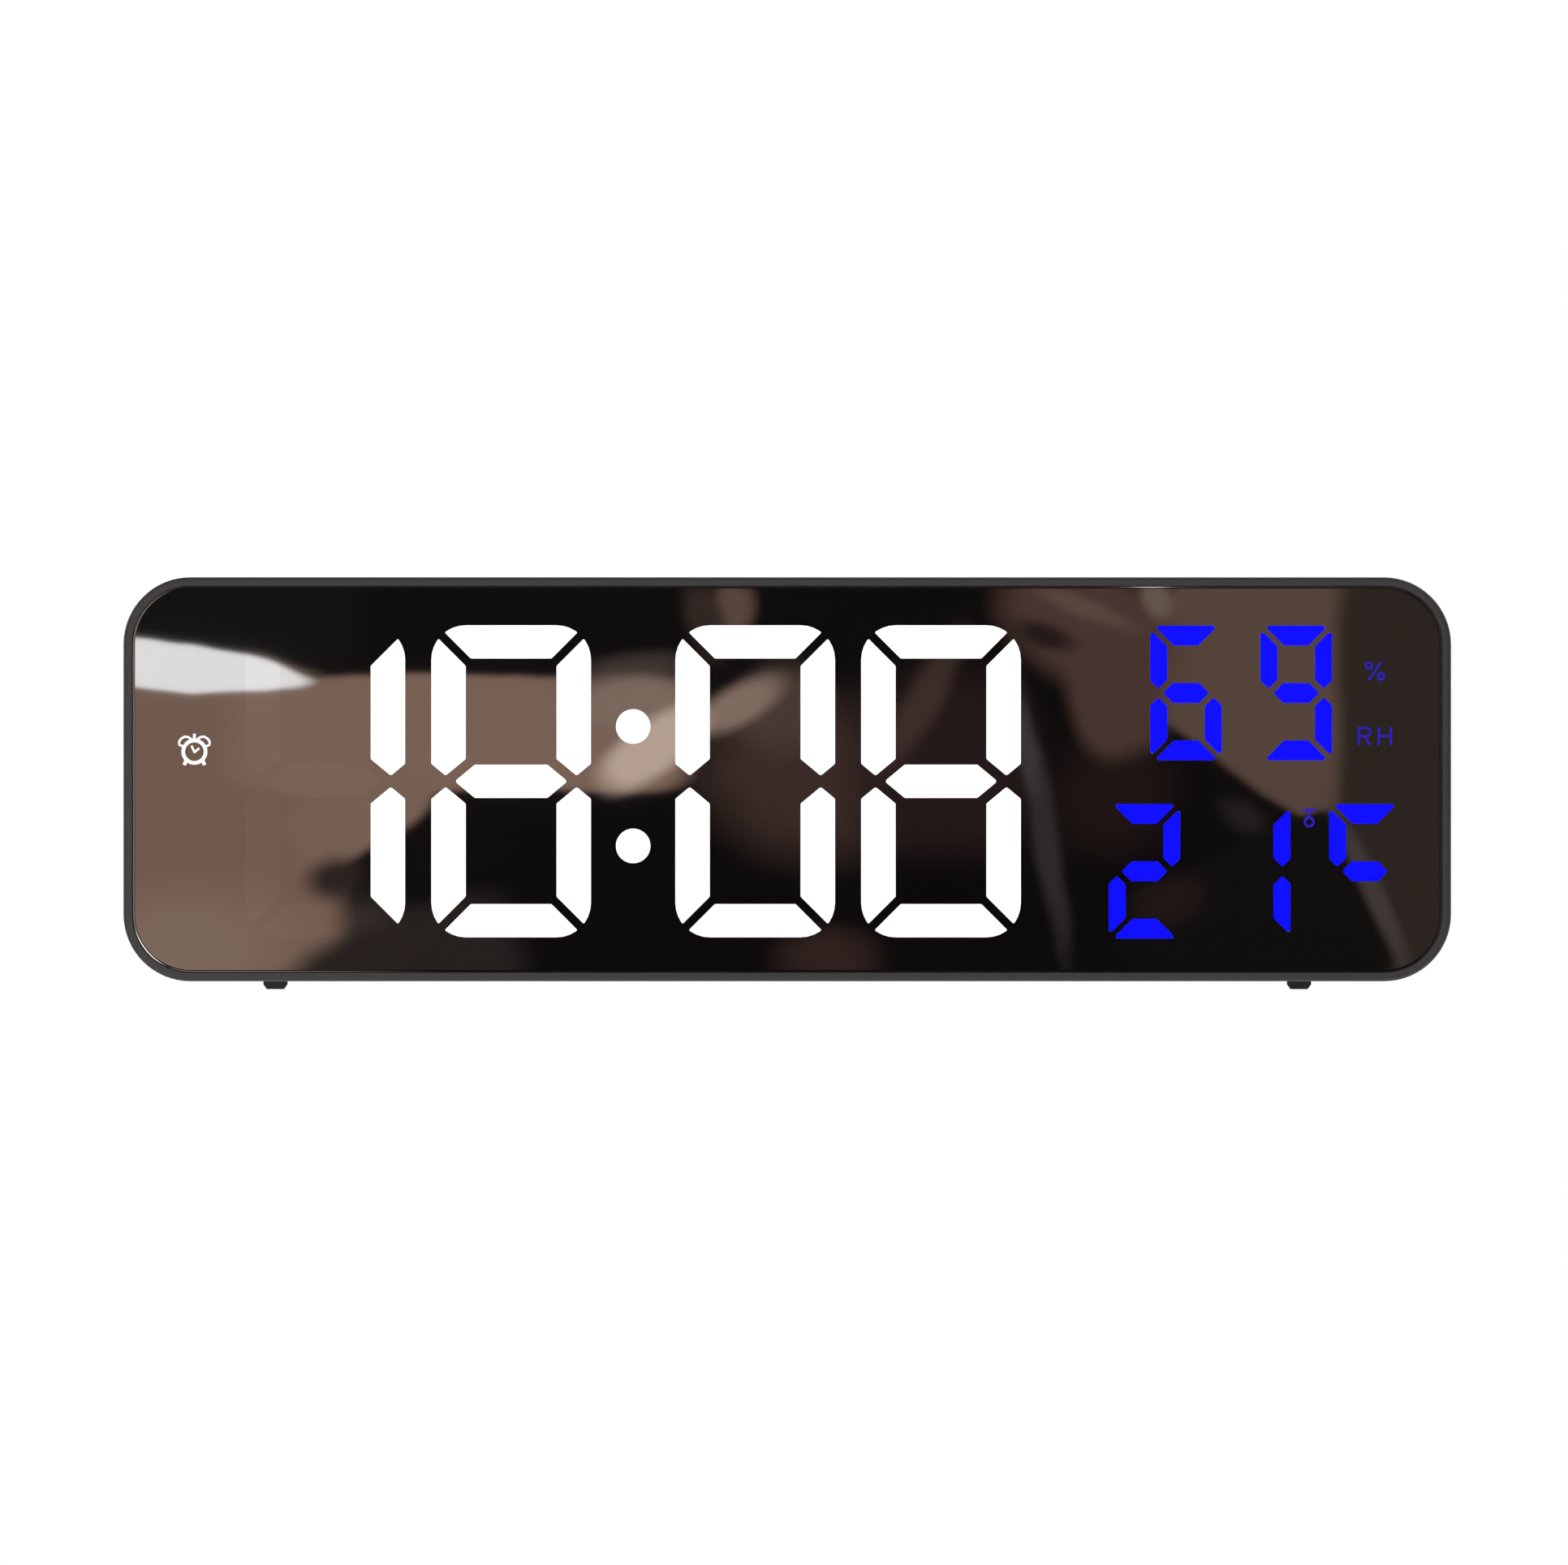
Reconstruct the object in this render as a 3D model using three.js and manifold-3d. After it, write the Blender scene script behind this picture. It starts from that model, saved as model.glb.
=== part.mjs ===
// Mirror-faced digital wall clock. Millimetres, +Z up.
// The wall is the plane y = 0 and the display looks along -Y.
// The origin is the middle of the rear face, half way up and half way across the case.

import * as THREE from 'three';
import { mergeVertices } from 'three/addons/utils/BufferGeometryUtils.js';
import Module from 'manifold-3d';

const wasm = await Module();
wasm.setup();

// Large figures along the face: hours, a colon and minutes

const digitWidth = 28.1;
const digitHeight = 54.5;
const digitStroke = 6.1;
const digitGap = 1.5;
const digitRound = 6.0;
const digitTipInset = 2.5;
const digitTipRise = 0.95;
const digitBarInset = 4.05;
const digitSlope = 0.83;
const digitSpace = 4.1;
const digitDrop = 0.35;
const colonAside = 7.1;
const colonDot = 6.2;
const colonSpacing = 20.8;
const colonDrop = 1.2;

// Small figures in two rows, as high together as a large one: humidity above, temperature below

const smallWidth = 12.6;
const smallStroke = 3.1;
const smallGap = 0.9;
const smallTipInset = 1.4;
const smallTipRise = 0.75;
const smallBarInset = 2.2;
const smallSlope = 1.0;
const smallSpace = 6.5;
const rowGap = 7.3;
const rowDrop = 0.15;
const upperRowShift = 7.2;

// Signs beside the figures: an alarm bell, the humidity unit and the degree mark

const alarmSize = 6.8;
const alarmAside = 8.7;
const alarmLift = 5.35;
const unitWidth = 6.8;
const unitHeight = 16.0;
const unitInset = 1.3;
const unitLift = 1.8;
const degreeWidth = 2.6;
const degreeHeight = 4.4;
const degreeDrop = 2.7;

// Bare face round the figures

const leftMargin = 20.9;
const groupGap = 14.9;
const rightMargin = 8.6;
const digitMargin = 7.75;

// Depth of the parts in front of the electronics

const lensRecess = 0.3;
const lensThickness = 2.0;
const lensBevel = 0.35;
const tapeThickness = 0.5;
const ledgeThickness = 1.5;
const maskStandoff = 0.15;
const maskThickness = 0.5;
const insertWeb = 0.6;
const wellDepth = 6.0;
const flangeThickness = 1.2;
const boardThickness = 1.6;
const frameDepth = 9.0;

// Case

const caseCorner = 11.6;
const caseWall = 2.0;
const backWall = 2.0;
const rimWidth = 1.5;
const rimRound = 0.8;
const rearRound = 4.0;
const ledgeWidth = 3.0;
const seam = 0.3;
const lipDepth = 2.0;
const lipThickness = 1.0;
const bossRadius = 3.4;
const bossRib = 1.6;
const screwInset = 9.0;
const counterboreDepth = 8.0;
const holdPostRadius = 1.8;
const holdPostInset = 35.0;
const holdPostRise = 24.0;

// Clearances

const seatGap = 0.05;
const windowGap = 0.1;
const lensGap = 0.15;
const lipGap = 0.15;
const tabGap = 0.2;
const fitGap = 0.3;
const boreEnd = 0.5;

// How far joined shapes run into each other, and how far a cut runs past the face it opens

const overlap = 0.2;
const beyond = 1.0;

// Display parts behind the lens

const webMargin = 1.0;
const signMargin = 0.4;
const blockInset = 6.0;
const flangeInset = 3.0;
const wellGrow = 0.25;
const wellTaper = 0.62;
const lampSize = 1.6;
const lampHeight = 0.6;
const boardScrewAside = 6.4;
const boardScrewBelow = 4.0;
const controllerX = -45.0;
const controllerSize = 9.0;
const controllerHeight = 1.0;

// Screws

const screwShank = 1.9;
const screwHead = 3.8;
const screwHeadHeight = 1.4;
const screwChamfer = 0.7;
const recessLength = 2.3;
const recessWidth = 0.6;
const recessDepth = 0.7;
const boardScrewLength = 5.0;
const keyScrewLength = 5.0;

// Battery bay for two small cells side by side

const cellDiameter = 10.5;
const cellLength = 44.5;
const cellNub = 3.8;
const cellNubHeight = 0.8;
const cellSpace = 0.5;
const cellSide = 0.4;
const cellUnder = 0.2;
const contactSpace = 2.6;
const contactThickness = 0.4;
const contactWidth = 8.0;
const springWire = 0.6;
const springTurns = 2.5;
const springWide = 3.7;
const springNarrow = 1.4;
const tabWidth = 2.0;
const tabHeight = 0.6;
const tabReach = 1.5;
const tabRise = 1.0;
const bayFloor = 1.2;
const bayWall = 1.2;
const bayCentreX = 37.0;
const bayClearOfBoard = 0.8;
const doorRise = 7.55;
const doorThickness = 1.6;
const doorSink = 0.1;
const doorLedge = 1.5;
const doorPin = 1.4;
const doorPinLength = 1.0;
const tongueWidth = 9.0;
const tongueHeight = 3.4;
const scoopRadius = 5.5;
const scoopDepth = 0.5;

// Key strip on the back, above the battery door

const keyCount = 4;
const keyDiameter = 7.0;
const keyPitch = 15.0;
const keyAboveDoor = 16.15;
const keyRecess = 1.2;
const keyMargin = 2.0;
const keyEdge = 6.0;
const keyProud = 0.8;
const keyRound = 0.4;
const keyDish = 0.25;
const keyFlange = 1.0;
const keyFlangeHeight = 1.0;
const keyStem = 3.0;
const keyStemLength = 0.9;
const keyTravel = 0.5;
const switchSize = 6.0;
const switchHeight = 3.5;
const switchStandoff = 1.1;
const plungerLength = 1.85;
const keyBoardThickness = 1.2;
const keyBoardHeight = 9.0;
const keyPostAside = 7.8;
const keyPostRadius = 2.4;

// Keyhole hangers

const hangSpacing = 130.0;
const hangEntry = 10.0;
const hangSlot = 5.0;
const hangRise = 8.0;
const hangDrop = 23.0;
const hangPocketDepth = 4.0;
const hangPocketWall = 1.0;
const hangPocketSide = 1.4;
const hangPocketTop = 3.0;

// Fold-out legs

const legInset = 26.0;
const legWidth = 4.2;
const legThickness = 3.0;
const legLength = 44.5;
const legReach = 1.5;
const legChamfer = 0.6;
const legChamferRise = 0.85;
const legSink = 0.3;
const legSideGap = 0.4;
const legTopGap = 1.0;
const legPin = 2.0;
const legBore = 2.6;
const legPinHole = 2.4;
const legNotchRise = 9.0;
const legNotchRadius = 1.5;
const legNotchDepth = 0.5;
const channelWall = 1.5;
const channelFloor = 1.2;

// Power inlet

const inletAside = 22.0;
const inletWidth = 16.0;
const inletDepth = 9.0;
const inletTop = 22.0;
const inletWall = 1.2;
const socketWidth = 8.9;
const socketHeight = 3.2;
const socketLength = 7.3;
const socketWall = 0.35;
const socketFloor = 1.0;
const socketBehind = 4.8;
const tongueThickness = 0.7;
const tongueSide = 1.3;
const tongueSink = 0.8;
const powerBoardWidth = 22.0;
const powerBoardHeight = 14.0;
const powerBoardThickness = 1.0;
const powerPinInset = 2.6;
const powerPin = 1.6;
const powerPost = 4.0;
const regulatorWidth = 4.0;
const regulatorHeight = 3.0;
const regulatorThickness = 1.1;
const regulatorDrop = 4.5;

// Buzzer and climate sensor

const buzzerAside = 18.0;
const buzzerRise = 21.0;
const buzzerDiameter = 12.0;
const buzzerHeight = 4.5;
const buzzerCollar = 1.0;
const buzzerCollarHeight = 2.0;
const buzzerPort = 2.0;
const buzzerPortDepth = 1.5;
const soundHole = 1.6;
const soundRing = 3.4;
const soundHoles = 6;
const ventAside = 10.0;
const ventRise = 15.0;
const ventCount = 4;
const ventPitch = 2.6;
const ventWidth = 1.2;
const ventHeight = 8.0;
const sensorWidth = 12.0;
const sensorHeight = 9.0;
const sensorThickness = 1.0;
const sensorStandoff = 1.6;
const sensorChip = 3.0;
const sensorChipHeight = 0.9;
const sensorRail = 2.0;
const sensorRailLap = 1.2;

// Leads inside the case

const wireRadius = 0.6;
const leadStraight = 4.0;
const leadTurn = 10.0;
const leadInset = 2.0;
const leadDrop = 6.0;
const leadPitch = 3.0;
const ribbonWidth = 8.0;
const ribbonThickness = 0.5;
const ribbonRise = 2.0;
const ribbonBow = 0.8;

// Facets

const cornerSteps = 4;
const smallSteps = 2;
const roundSteps = 3;
const discSides = 12;
const boreSides = 8;
const screwSides = 8;
const keySides = 10;
const soundSides = 6;
const cellSides = 14;
const coilSides = 5;
const coilSteps = 20;
const leadSteps = 10;
const ribbonSteps = 4;

// Worked-out sizes of the face and the case

const digitPitch = digitWidth + digitSpace;
const colonStep = digitWidth / 2 + colonAside;
const smallPitch = smallWidth + smallSpace;
const smallHeight = (digitHeight - rowGap) / 2;
const caseHeight = digitHeight + 2 * digitMargin;
const largeGroup = digitWidth + 2 * digitPitch + 2 * colonStep;
const smallGroup = smallWidth + 2 * smallPitch;
const caseWidth = leftMargin + largeGroup + groupGap + smallGroup + rightMargin;
const halfWidth = caseWidth / 2;
const halfHeight = caseHeight / 2;

// Worked-out depths behind the front plane

const lensBack = lensRecess + lensThickness;
const tapeFront = lensBack + seatGap;
const tapeBack = tapeFront + tapeThickness;
const ledgeFront = tapeBack + seatGap;
const ledgeBack = ledgeFront + ledgeThickness;
const maskFront = lensBack + maskStandoff;
const maskBack = maskFront + maskThickness;
const insertFront = maskFront + seatGap;
const webFront = maskBack + seatGap;
const webBack = webFront + insertWeb;
const blockFront = webBack + seatGap;
const blockBack = blockFront + wellDepth;
const boardFront = blockBack + seatGap;
const boardBack = boardFront + boardThickness;
const bayDepth = bayFloor + cellUnder + cellDiameter + fitGap + doorThickness + doorSink;
const caseDepth = boardBack + bayClearOfBoard + bayDepth;
const housingFront = frameDepth + seam;

const ledgeInset = rimWidth + ledgeWidth;
const screwX = halfWidth - screwInset;
const screwZ = halfHeight - screwInset;
const holdPostX = halfWidth - holdPostInset;
const ventX = ventAside - holdPostX;
const buzzerX = ventX + buzzerAside;
const inletCentreX = buzzerX + inletAside;

// Turns a depth behind the front plane into y
function at(depth) {
  return depth - caseDepth;
}

// Closed solids

function solid(geometry) {
  const bare = geometry.clone();
  bare.deleteAttribute('normal');
  bare.deleteAttribute('uv');
  const merged = mergeVertices(bare);
  const triVerts = Uint32Array.from(merged.index.array);
  const vertProperties = merged.attributes.position.array;
  const body = new wasm.Manifold(new wasm.Mesh({ numProp: 3, vertProperties, triVerts }));
  if (body.volume() > 0) return body;
  for (let i = 0; i < triVerts.length; i += 3) {
    [triVerts[i], triVerts[i + 1]] = [triVerts[i + 1], triVerts[i]];
  }
  return new wasm.Manifold(new wasm.Mesh({ numProp: 3, vertProperties, triVerts }));
}

function join(...bodies) {
  return bodies.reduce((whole, body) => whole.add(body));
}

function cut(body, ...tools) {
  return tools.reduce((rest, tool) => rest.subtract(tool), body);
}

function geometryOf(body) {
  const { vertProperties, triVerts, numProp } = body.getMesh();
  const geometry = new THREE.BufferGeometry();
  const positions = new Float32Array((vertProperties.length / numProp) * 3);
  for (let i = 0; i < positions.length / 3; i += 1) {
    positions.set(vertProperties.subarray(i * numProp, i * numProp + 3), i * 3);
  }
  geometry.setAttribute('position', new THREE.BufferAttribute(positions, 3));
  geometry.setIndex(new THREE.BufferAttribute(triVerts, 1));
  geometry.computeVertexNormals();
  return geometry;
}

// A block between two corners, which may be given either way round
function block(x0, x1, y0, y1, z0, z1) {
  const box = new THREE.BoxGeometry(Math.abs(x1 - x0), Math.abs(y1 - y0), Math.abs(z1 - z0));
  return solid(box.translate((x0 + x1) / 2, (y0 + y1) / 2, (z0 + z1) / 2));
}

// A block centred on x, z
function slab(x, z, width, height, y0, y1) {
  return block(x - width / 2, x + width / 2, y0, y1, z - height / 2, z + height / 2);
}

// A cylinder along Y at x, z
function post(x, z, radius, y0, y1, sides = discSides) {
  const rod = new THREE.CylinderGeometry(radius, radius, y1 - y0, sides);
  return solid(rod.translate(x, (y0 + y1) / 2, z));
}

// A cylinder along X at y, z
function rodAlongX(y, z, radius, x0, x1, sides = discSides) {
  const rod = new THREE.CylinderGeometry(radius, radius, Math.abs(x1 - x0), sides);
  return solid(rod.rotateZ(Math.PI / 2).translate((x0 + x1) / 2, y, z));
}

function shapeOf(outline) {
  return new THREE.Shape(outline.map(([u, v]) => new THREE.Vector2(u, v)));
}

// A flat outline of x, z points drawn out from y0 to y1
function prism(outline, y0, y1, holes = []) {
  const shape = shapeOf(outline);
  for (const hole of holes) shape.holes.push(shapeOf(hole));
  const drawn = new THREE.ExtrudeGeometry(shape, { depth: y1 - y0, bevelEnabled: false });
  return solid(drawn.rotateX(Math.PI / 2).translate(0, y1, 0));
}

// A flat outline of x, y points drawn out from z0 to z1
function prismAlongZ(outline, z0, z1) {
  const drawn = new THREE.ExtrudeGeometry(shapeOf(outline), { depth: z1 - z0, bevelEnabled: false });
  return solid(drawn.translate(0, 0, z0));
}

// A flat outline of y, z points drawn out from x0 to x1
function prismAlongX(outline, x0, x1) {
  const drawn = new THREE.ExtrudeGeometry(shapeOf(outline), { depth: x1 - x0, bevelEnabled: false });
  return solid(drawn.rotateX(Math.PI / 2).rotateZ(Math.PI / 2).translate(x0, 0, 0));
}

// A body through convex outlines of equal point counts, from the lowest y to the highest
function loft(rings) {
  const count = rings[0].outline.length;
  const positions = rings.flatMap(({ y, outline }) => outline.flatMap(([x, z]) => [x, y, z]));
  const index = [];
  const last = (rings.length - 1) * count;
  for (let i = 1; i < count - 1; i += 1) {
    index.push(0, i, i + 1, last, last + i + 1, last + i);
  }
  for (let ring = 0; ring < last; ring += count) {
    for (let i = 0; i < count; i += 1) {
      const a = ring + i;
      const b = ring + ((i + 1) % count);
      index.push(a, a + count, b + count, a, b + count, b);
    }
  }
  const geometry = new THREE.BufferGeometry();
  geometry.setAttribute('position', new THREE.Float32BufferAttribute(positions, 3));
  geometry.setIndex(index);
  return solid(geometry);
}

// A body of revolution about Y from radius, y pairs
function revolve(profile, sides) {
  return solid(new THREE.LatheGeometry(profile.map(([r, y]) => new THREE.Vector2(r, y)), sides));
}

// A round wire along a curve
function tube(curve, radius, steps) {
  const section = shapeOf(circle(0, 0, radius, coilSides));
  return solid(new THREE.ExtrudeGeometry(section, { steps, extrudePath: curve, bevelEnabled: false }));
}

// Outlines

function circle(x, z, radius, sides = discSides) {
  return Array.from({ length: sides }, (_, i) => {
    const turn = (2 * Math.PI * i) / sides;
    return [x + radius * Math.cos(turn), z + radius * Math.sin(turn)];
  });
}

// Drops points that lie on the one before them
function withoutRepeats(outline) {
  return outline.filter((point, i) => {
    const before = outline[(i + outline.length - 1) % outline.length];
    return Math.hypot(point[0] - before[0], point[1] - before[1]) > 0.02;
  });
}

function roundedRect(width, height, radius, centreX = 0, centreZ = 0, steps = cornerSteps) {
  const points = [];
  const corners = [[1, 1, 0], [-1, 1, 0.25], [-1, -1, 0.5], [1, -1, 0.75]];
  for (const [sideX, sideZ, start] of corners) {
    const x = centreX + sideX * (width / 2 - radius);
    const z = centreZ + sideZ * (height / 2 - radius);
    for (let i = 0; i <= steps; i += 1) {
      const turn = 2 * Math.PI * (start + i / steps / 4);
      points.push([x + radius * Math.cos(turn), z + radius * Math.sin(turn)]);
    }
  }
  return withoutRepeats(points);
}

// A rounded rectangle about the origin with few corner points, plain where the radius is 0
function smallRect(width, height, radius = 0) {
  return roundedRect(width, height, radius, 0, 0, smallSteps);
}

// The case outline drawn in by an inset
function caseOutline(inset) {
  return roundedRect(caseWidth - 2 * inset, caseHeight - 2 * inset, caseCorner - inset);
}

function caseSlab(inset, y0, y1) {
  return loft([{ y: y0, outline: caseOutline(inset) }, { y: y1, outline: caseOutline(inset) }]);
}

function shifted(outline, x, z) {
  return outline.map(([px, pz]) => [px + x, pz + z]);
}

// Keeps the part of a convex outline where a * x + b * z >= c
function clip(outline, a, b, c) {
  const kept = [];
  outline.forEach((point, i) => {
    const next = outline[(i + 1) % outline.length];
    const here = a * point[0] + b * point[1] - c;
    const there = a * next[0] + b * next[1] - c;
    if (here >= 0) kept.push(point);
    if (here * there < 0) {
      const share = here / (here - there);
      kept.push([point[0] + share * (next[0] - point[0]), point[1] + share * (next[1] - point[1])]);
    }
  });
  return withoutRepeats(kept);
}

// The four places at x, z mirrored left to right and top to bottom
function fourCorners(x, z) {
  return [[-x, -z], [x, -z], [x, z], [-x, z]];
}

// Seven-segment figures

const largeFigure = {
  width: digitWidth,
  height: digitHeight,
  stroke: digitStroke,
  gap: digitGap,
  round: digitRound,
  tipInset: digitTipInset,
  tipRise: digitTipRise,
  barInset: digitBarInset,
  slope: digitSlope,
};

const smallFigure = {
  width: smallWidth,
  height: smallHeight,
  stroke: smallStroke,
  gap: smallGap,
  round: 0,
  tipInset: smallTipInset,
  tipRise: smallTipRise,
  barInset: smallBarInset,
  slope: smallSlope,
};

// One segment's outline about the middle of its figure, drawn in by an inset.
// The bars a and d are the top and bottom, g the middle, and b, c, e and f the sides.
function segmentOutline(figure, letter, inset) {
  const { width, height, stroke, gap, round, tipInset, tipRise, barInset, slope } = figure;
  const left = -width / 2;
  const mitre = (height - width) / 2;
  const mitreGap = (gap / 2 + inset) * Math.SQRT2;
  const slant = inset * Math.hypot(1, slope);
  let outline = smallRect(width - 2 * inset, height - 2 * inset, Math.max(round - inset, 0));
  if (letter === 'g') {
    outline = clip(outline, 0, 1, -stroke / 2 + inset);
    outline = clip(outline, 0, -1, -stroke / 2 + inset);
    for (const [sideX, sideZ] of fourCorners(1, 1)) {
      outline = clip(outline, slope * sideX, sideZ, slope * (left + barInset) + slant);
    }
    return outline;
  }
  if (letter === 'a' || letter === 'd') {
    outline = clip(outline, 0, 1, height / 2 - stroke + inset);
    outline = clip(outline, 1, 1, mitre + mitreGap);
    outline = clip(outline, -1, 1, mitre + mitreGap);
  } else {
    outline = clip(outline, -1, 0, -left - stroke + inset);
    outline = clip(outline, -1, -1, -mitre + mitreGap);
    outline = clip(outline, -slope, 1, tipRise - slope * (left + tipInset) + slant);
    outline = clip(outline, slope, 1, tipRise + slope * (left + tipInset) + slant);
  }
  const flipX = letter === 'b' || letter === 'c' ? -1 : 1;
  const flipZ = letter === 'd' || letter === 'c' || letter === 'e' ? -1 : 1;
  const turned = outline.map(([x, z]) => [flipX * x, flipZ * z]);
  return flipX * flipZ < 0 ? turned.reverse() : turned;
}

// Where each figure and sign stands on the face

const hoursTensX = -halfWidth + leftMargin + digitWidth / 2;
const hoursUnitsX = hoursTensX + digitPitch;
const colonX = hoursUnitsX + colonStep;
const minutesTensX = colonX + colonStep;
const minutesUnitsX = minutesTensX + digitPitch;
const firstSmallX = minutesUnitsX + digitWidth / 2 + groupGap + smallWidth / 2;
const scaleX = firstSmallX + 2 * smallPitch;
const rowReach = (digitHeight - smallHeight) / 2;
const upperRowZ = rowReach - digitDrop - rowDrop;
const lowerRowZ = -rowReach - digitDrop - rowDrop;
const signEdge = scaleX + smallWidth / 2 - unitInset;

function figureInsert(name, style, x, z, letters = 'abcdefg') {
  return {
    name,
    x,
    z,
    web: smallRect(style.width + 2 * webMargin, style.height + 2 * webMargin),
    windows: (inset) => [...letters].map((letter) => segmentOutline(style, letter, inset)),
  };
}

function signInsert(name, width, height, x, z) {
  return {
    name,
    x,
    z,
    web: smallRect(width + 2 * signMargin, height + 2 * signMargin),
    windows: (inset) => [smallRect(width - 2 * inset, height - 2 * inset)],
  };
}

const colonInsert = {
  name: 'colon_dots',
  x: colonX,
  z: -colonDrop,
  web: smallRect(colonDot + 2 * webMargin, colonDot + colonSpacing + 2 * webMargin),
  windows: (inset) => [-1, 1].map((side) => circle(0, (side * colonSpacing) / 2, colonDot / 2 - inset)),
};

const degreeZ = lowerRowZ + smallHeight / 2 - degreeDrop;
const inserts = [
  figureInsert('hours_tens', largeFigure, hoursTensX, -digitDrop),
  figureInsert('hours_units', largeFigure, hoursUnitsX, -digitDrop),
  figureInsert('minutes_tens', largeFigure, minutesTensX, -digitDrop),
  figureInsert('minutes_units', largeFigure, minutesUnitsX, -digitDrop),
  figureInsert('humidity_tens', smallFigure, firstSmallX + upperRowShift, upperRowZ),
  figureInsert('humidity_units', smallFigure, firstSmallX + upperRowShift + smallPitch, upperRowZ),
  figureInsert('temperature_tens', smallFigure, firstSmallX, lowerRowZ),
  figureInsert('temperature_units', smallFigure, firstSmallX + smallPitch, lowerRowZ),
  figureInsert('temperature_scale', smallFigure, scaleX, lowerRowZ, 'aefg'),
  colonInsert,
  signInsert('alarm_sign', alarmSize, alarmSize, hoursTensX - digitWidth / 2 - alarmAside, alarmLift),
  signInsert('humidity_sign', unitWidth, unitHeight, signEdge - unitWidth / 2, upperRowZ - unitLift),
  signInsert('degree_sign', degreeWidth, degreeHeight, scaleX - smallPitch / 2, degreeZ),
];

// Front frame: a moulded ring with a lens seat, and a boss in each corner for the case screws

const bossFront = at(ledgeBack) - overlap;
const bossBoreFront = bossFront + beyond;

function frontFrame() {
  const rings = [];
  for (let i = 0; i <= roundSteps; i += 1) {
    const turn = (Math.PI / 2) * (i / roundSteps);
    const inset = rimRound * (1 - Math.sin(turn));
    rings.push({ y: at(rimRound * (1 - Math.cos(turn))), outline: caseOutline(inset) });
  }
  rings.push({ y: at(frameDepth), outline: caseOutline(0) });
  let body = cut(
    loft(rings),
    caseSlab(rimWidth, at(0) - beyond, at(ledgeFront)),
    caseSlab(ledgeInset, at(0) - beyond, at(frameDepth) + beyond),
    caseSlab(caseWall, at(ledgeBack), at(frameDepth) + beyond),
  );
  const ribBack = at(housingFront - lipDepth - fitGap);
  for (const [x, z] of fourCorners(screwX, screwZ)) {
    const wallX = Math.sign(x) * (halfWidth - caseWall / 2);
    const wallZ = Math.sign(z) * (halfHeight - caseWall / 2);
    body = join(
      body,
      post(x, z, bossRadius, bossFront, at(frameDepth), boreSides),
      block(x, wallX, bossFront, ribBack, z - bossRib / 2, z + bossRib / 2),
      block(x - bossRib / 2, x + bossRib / 2, bossFront, ribBack, z, wallZ),
    );
    const bore = screwShank / 2 + windowGap;
    body = cut(body, post(x, z, bore, bossBoreFront, at(frameDepth) + beyond, screwSides));
  }
  return body;
}

function mirrorLens() {
  const inset = rimWidth + lensGap;
  return loft([
    { y: at(lensRecess), outline: caseOutline(inset + lensBevel) },
    { y: at(lensRecess + lensBevel), outline: caseOutline(inset) },
    { y: at(lensBack), outline: caseOutline(inset) },
  ]);
}

function lensTape() {
  const outer = caseOutline(rimWidth + fitGap);
  return prism(outer, at(tapeFront), at(tapeBack), [caseOutline(ledgeInset - fitGap)]);
}

// Black film with a window for every segment, dot and sign
function maskPlate() {
  const plate = caseSlab(ledgeInset + fitGap, at(maskFront), at(maskBack));
  const holes = inserts.flatMap(({ x, z, windows }) => windows(0).map((hole) => shifted(hole, x, z)));
  return cut(plate, ...holes.map((hole) => prism(hole, at(maskFront) - beyond, at(maskBack) + beyond)));
}

// A milky light guide: raised figures in the mask's windows on a web behind them
function lightGuide({ web, windows }) {
  const raised = windows(windowGap).map((hole) => prism(hole, at(insertFront), at(webFront) + overlap));
  return join(prism(web, at(webFront), at(webBack)), ...raised);
}

// Room for the corner bosses and screw posts, taken out of the display parts
function cornerNotches(y0, y1) {
  const near = bossRadius + fitGap;
  return fourCorners(1, 1).map(([sideX, sideZ]) => block(
    sideX * (screwX - near),
    sideX * halfWidth,
    y0 - beyond,
    y1 + beyond,
    sideZ * (screwZ - near),
    sideZ * halfHeight,
  ));
}

const boardScrewX = screwX - boardScrewAside;
const boardScrewZ = screwZ - boardScrewBelow;

function boardScrewBores(y0, y1) {
  const bore = screwShank / 2 + windowGap;
  return fourCorners(boardScrewX, boardScrewZ).map(([x, z]) => post(x, z, bore, y0, y1, screwSides));
}

function middleOf(outline) {
  const sum = outline.reduce(([sx, sz], [px, pz]) => [sx + px, sz + pz]);
  return sum.map((value) => value / outline.length);
}

// The block of tapered wells that keeps each segment's light to itself, on a flange behind the ledge
function reflectorBlock() {
  const core = caseSlab(blockInset, at(blockFront), at(blockBack));
  const flangeFront = at(ledgeBack + seatGap);
  const flange = caseSlab(flangeInset, flangeFront, flangeFront + flangeThickness);
  const wells = inserts.flatMap(({ x, z, windows }) => windows(-wellGrow).map((outline) => {
    const [mx, mz] = middleOf(outline);
    const narrow = outline.map(([px, pz]) => [mx + wellTaper * (px - mx), mz + wellTaper * (pz - mz)]);
    return loft([
      { y: at(blockFront) - overlap, outline: shifted(outline, x, z) },
      { y: at(blockBack) + overlap, outline: shifted(narrow, x, z) },
    ]);
  }));
  return cut(
    join(core, flange),
    ...cornerNotches(at(blockFront), at(blockBack)),
    ...wells,
    ...boardScrewBores(at(boardBack) - boardScrewLength - boreEnd, at(blockBack) + beyond),
  );
}

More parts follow.
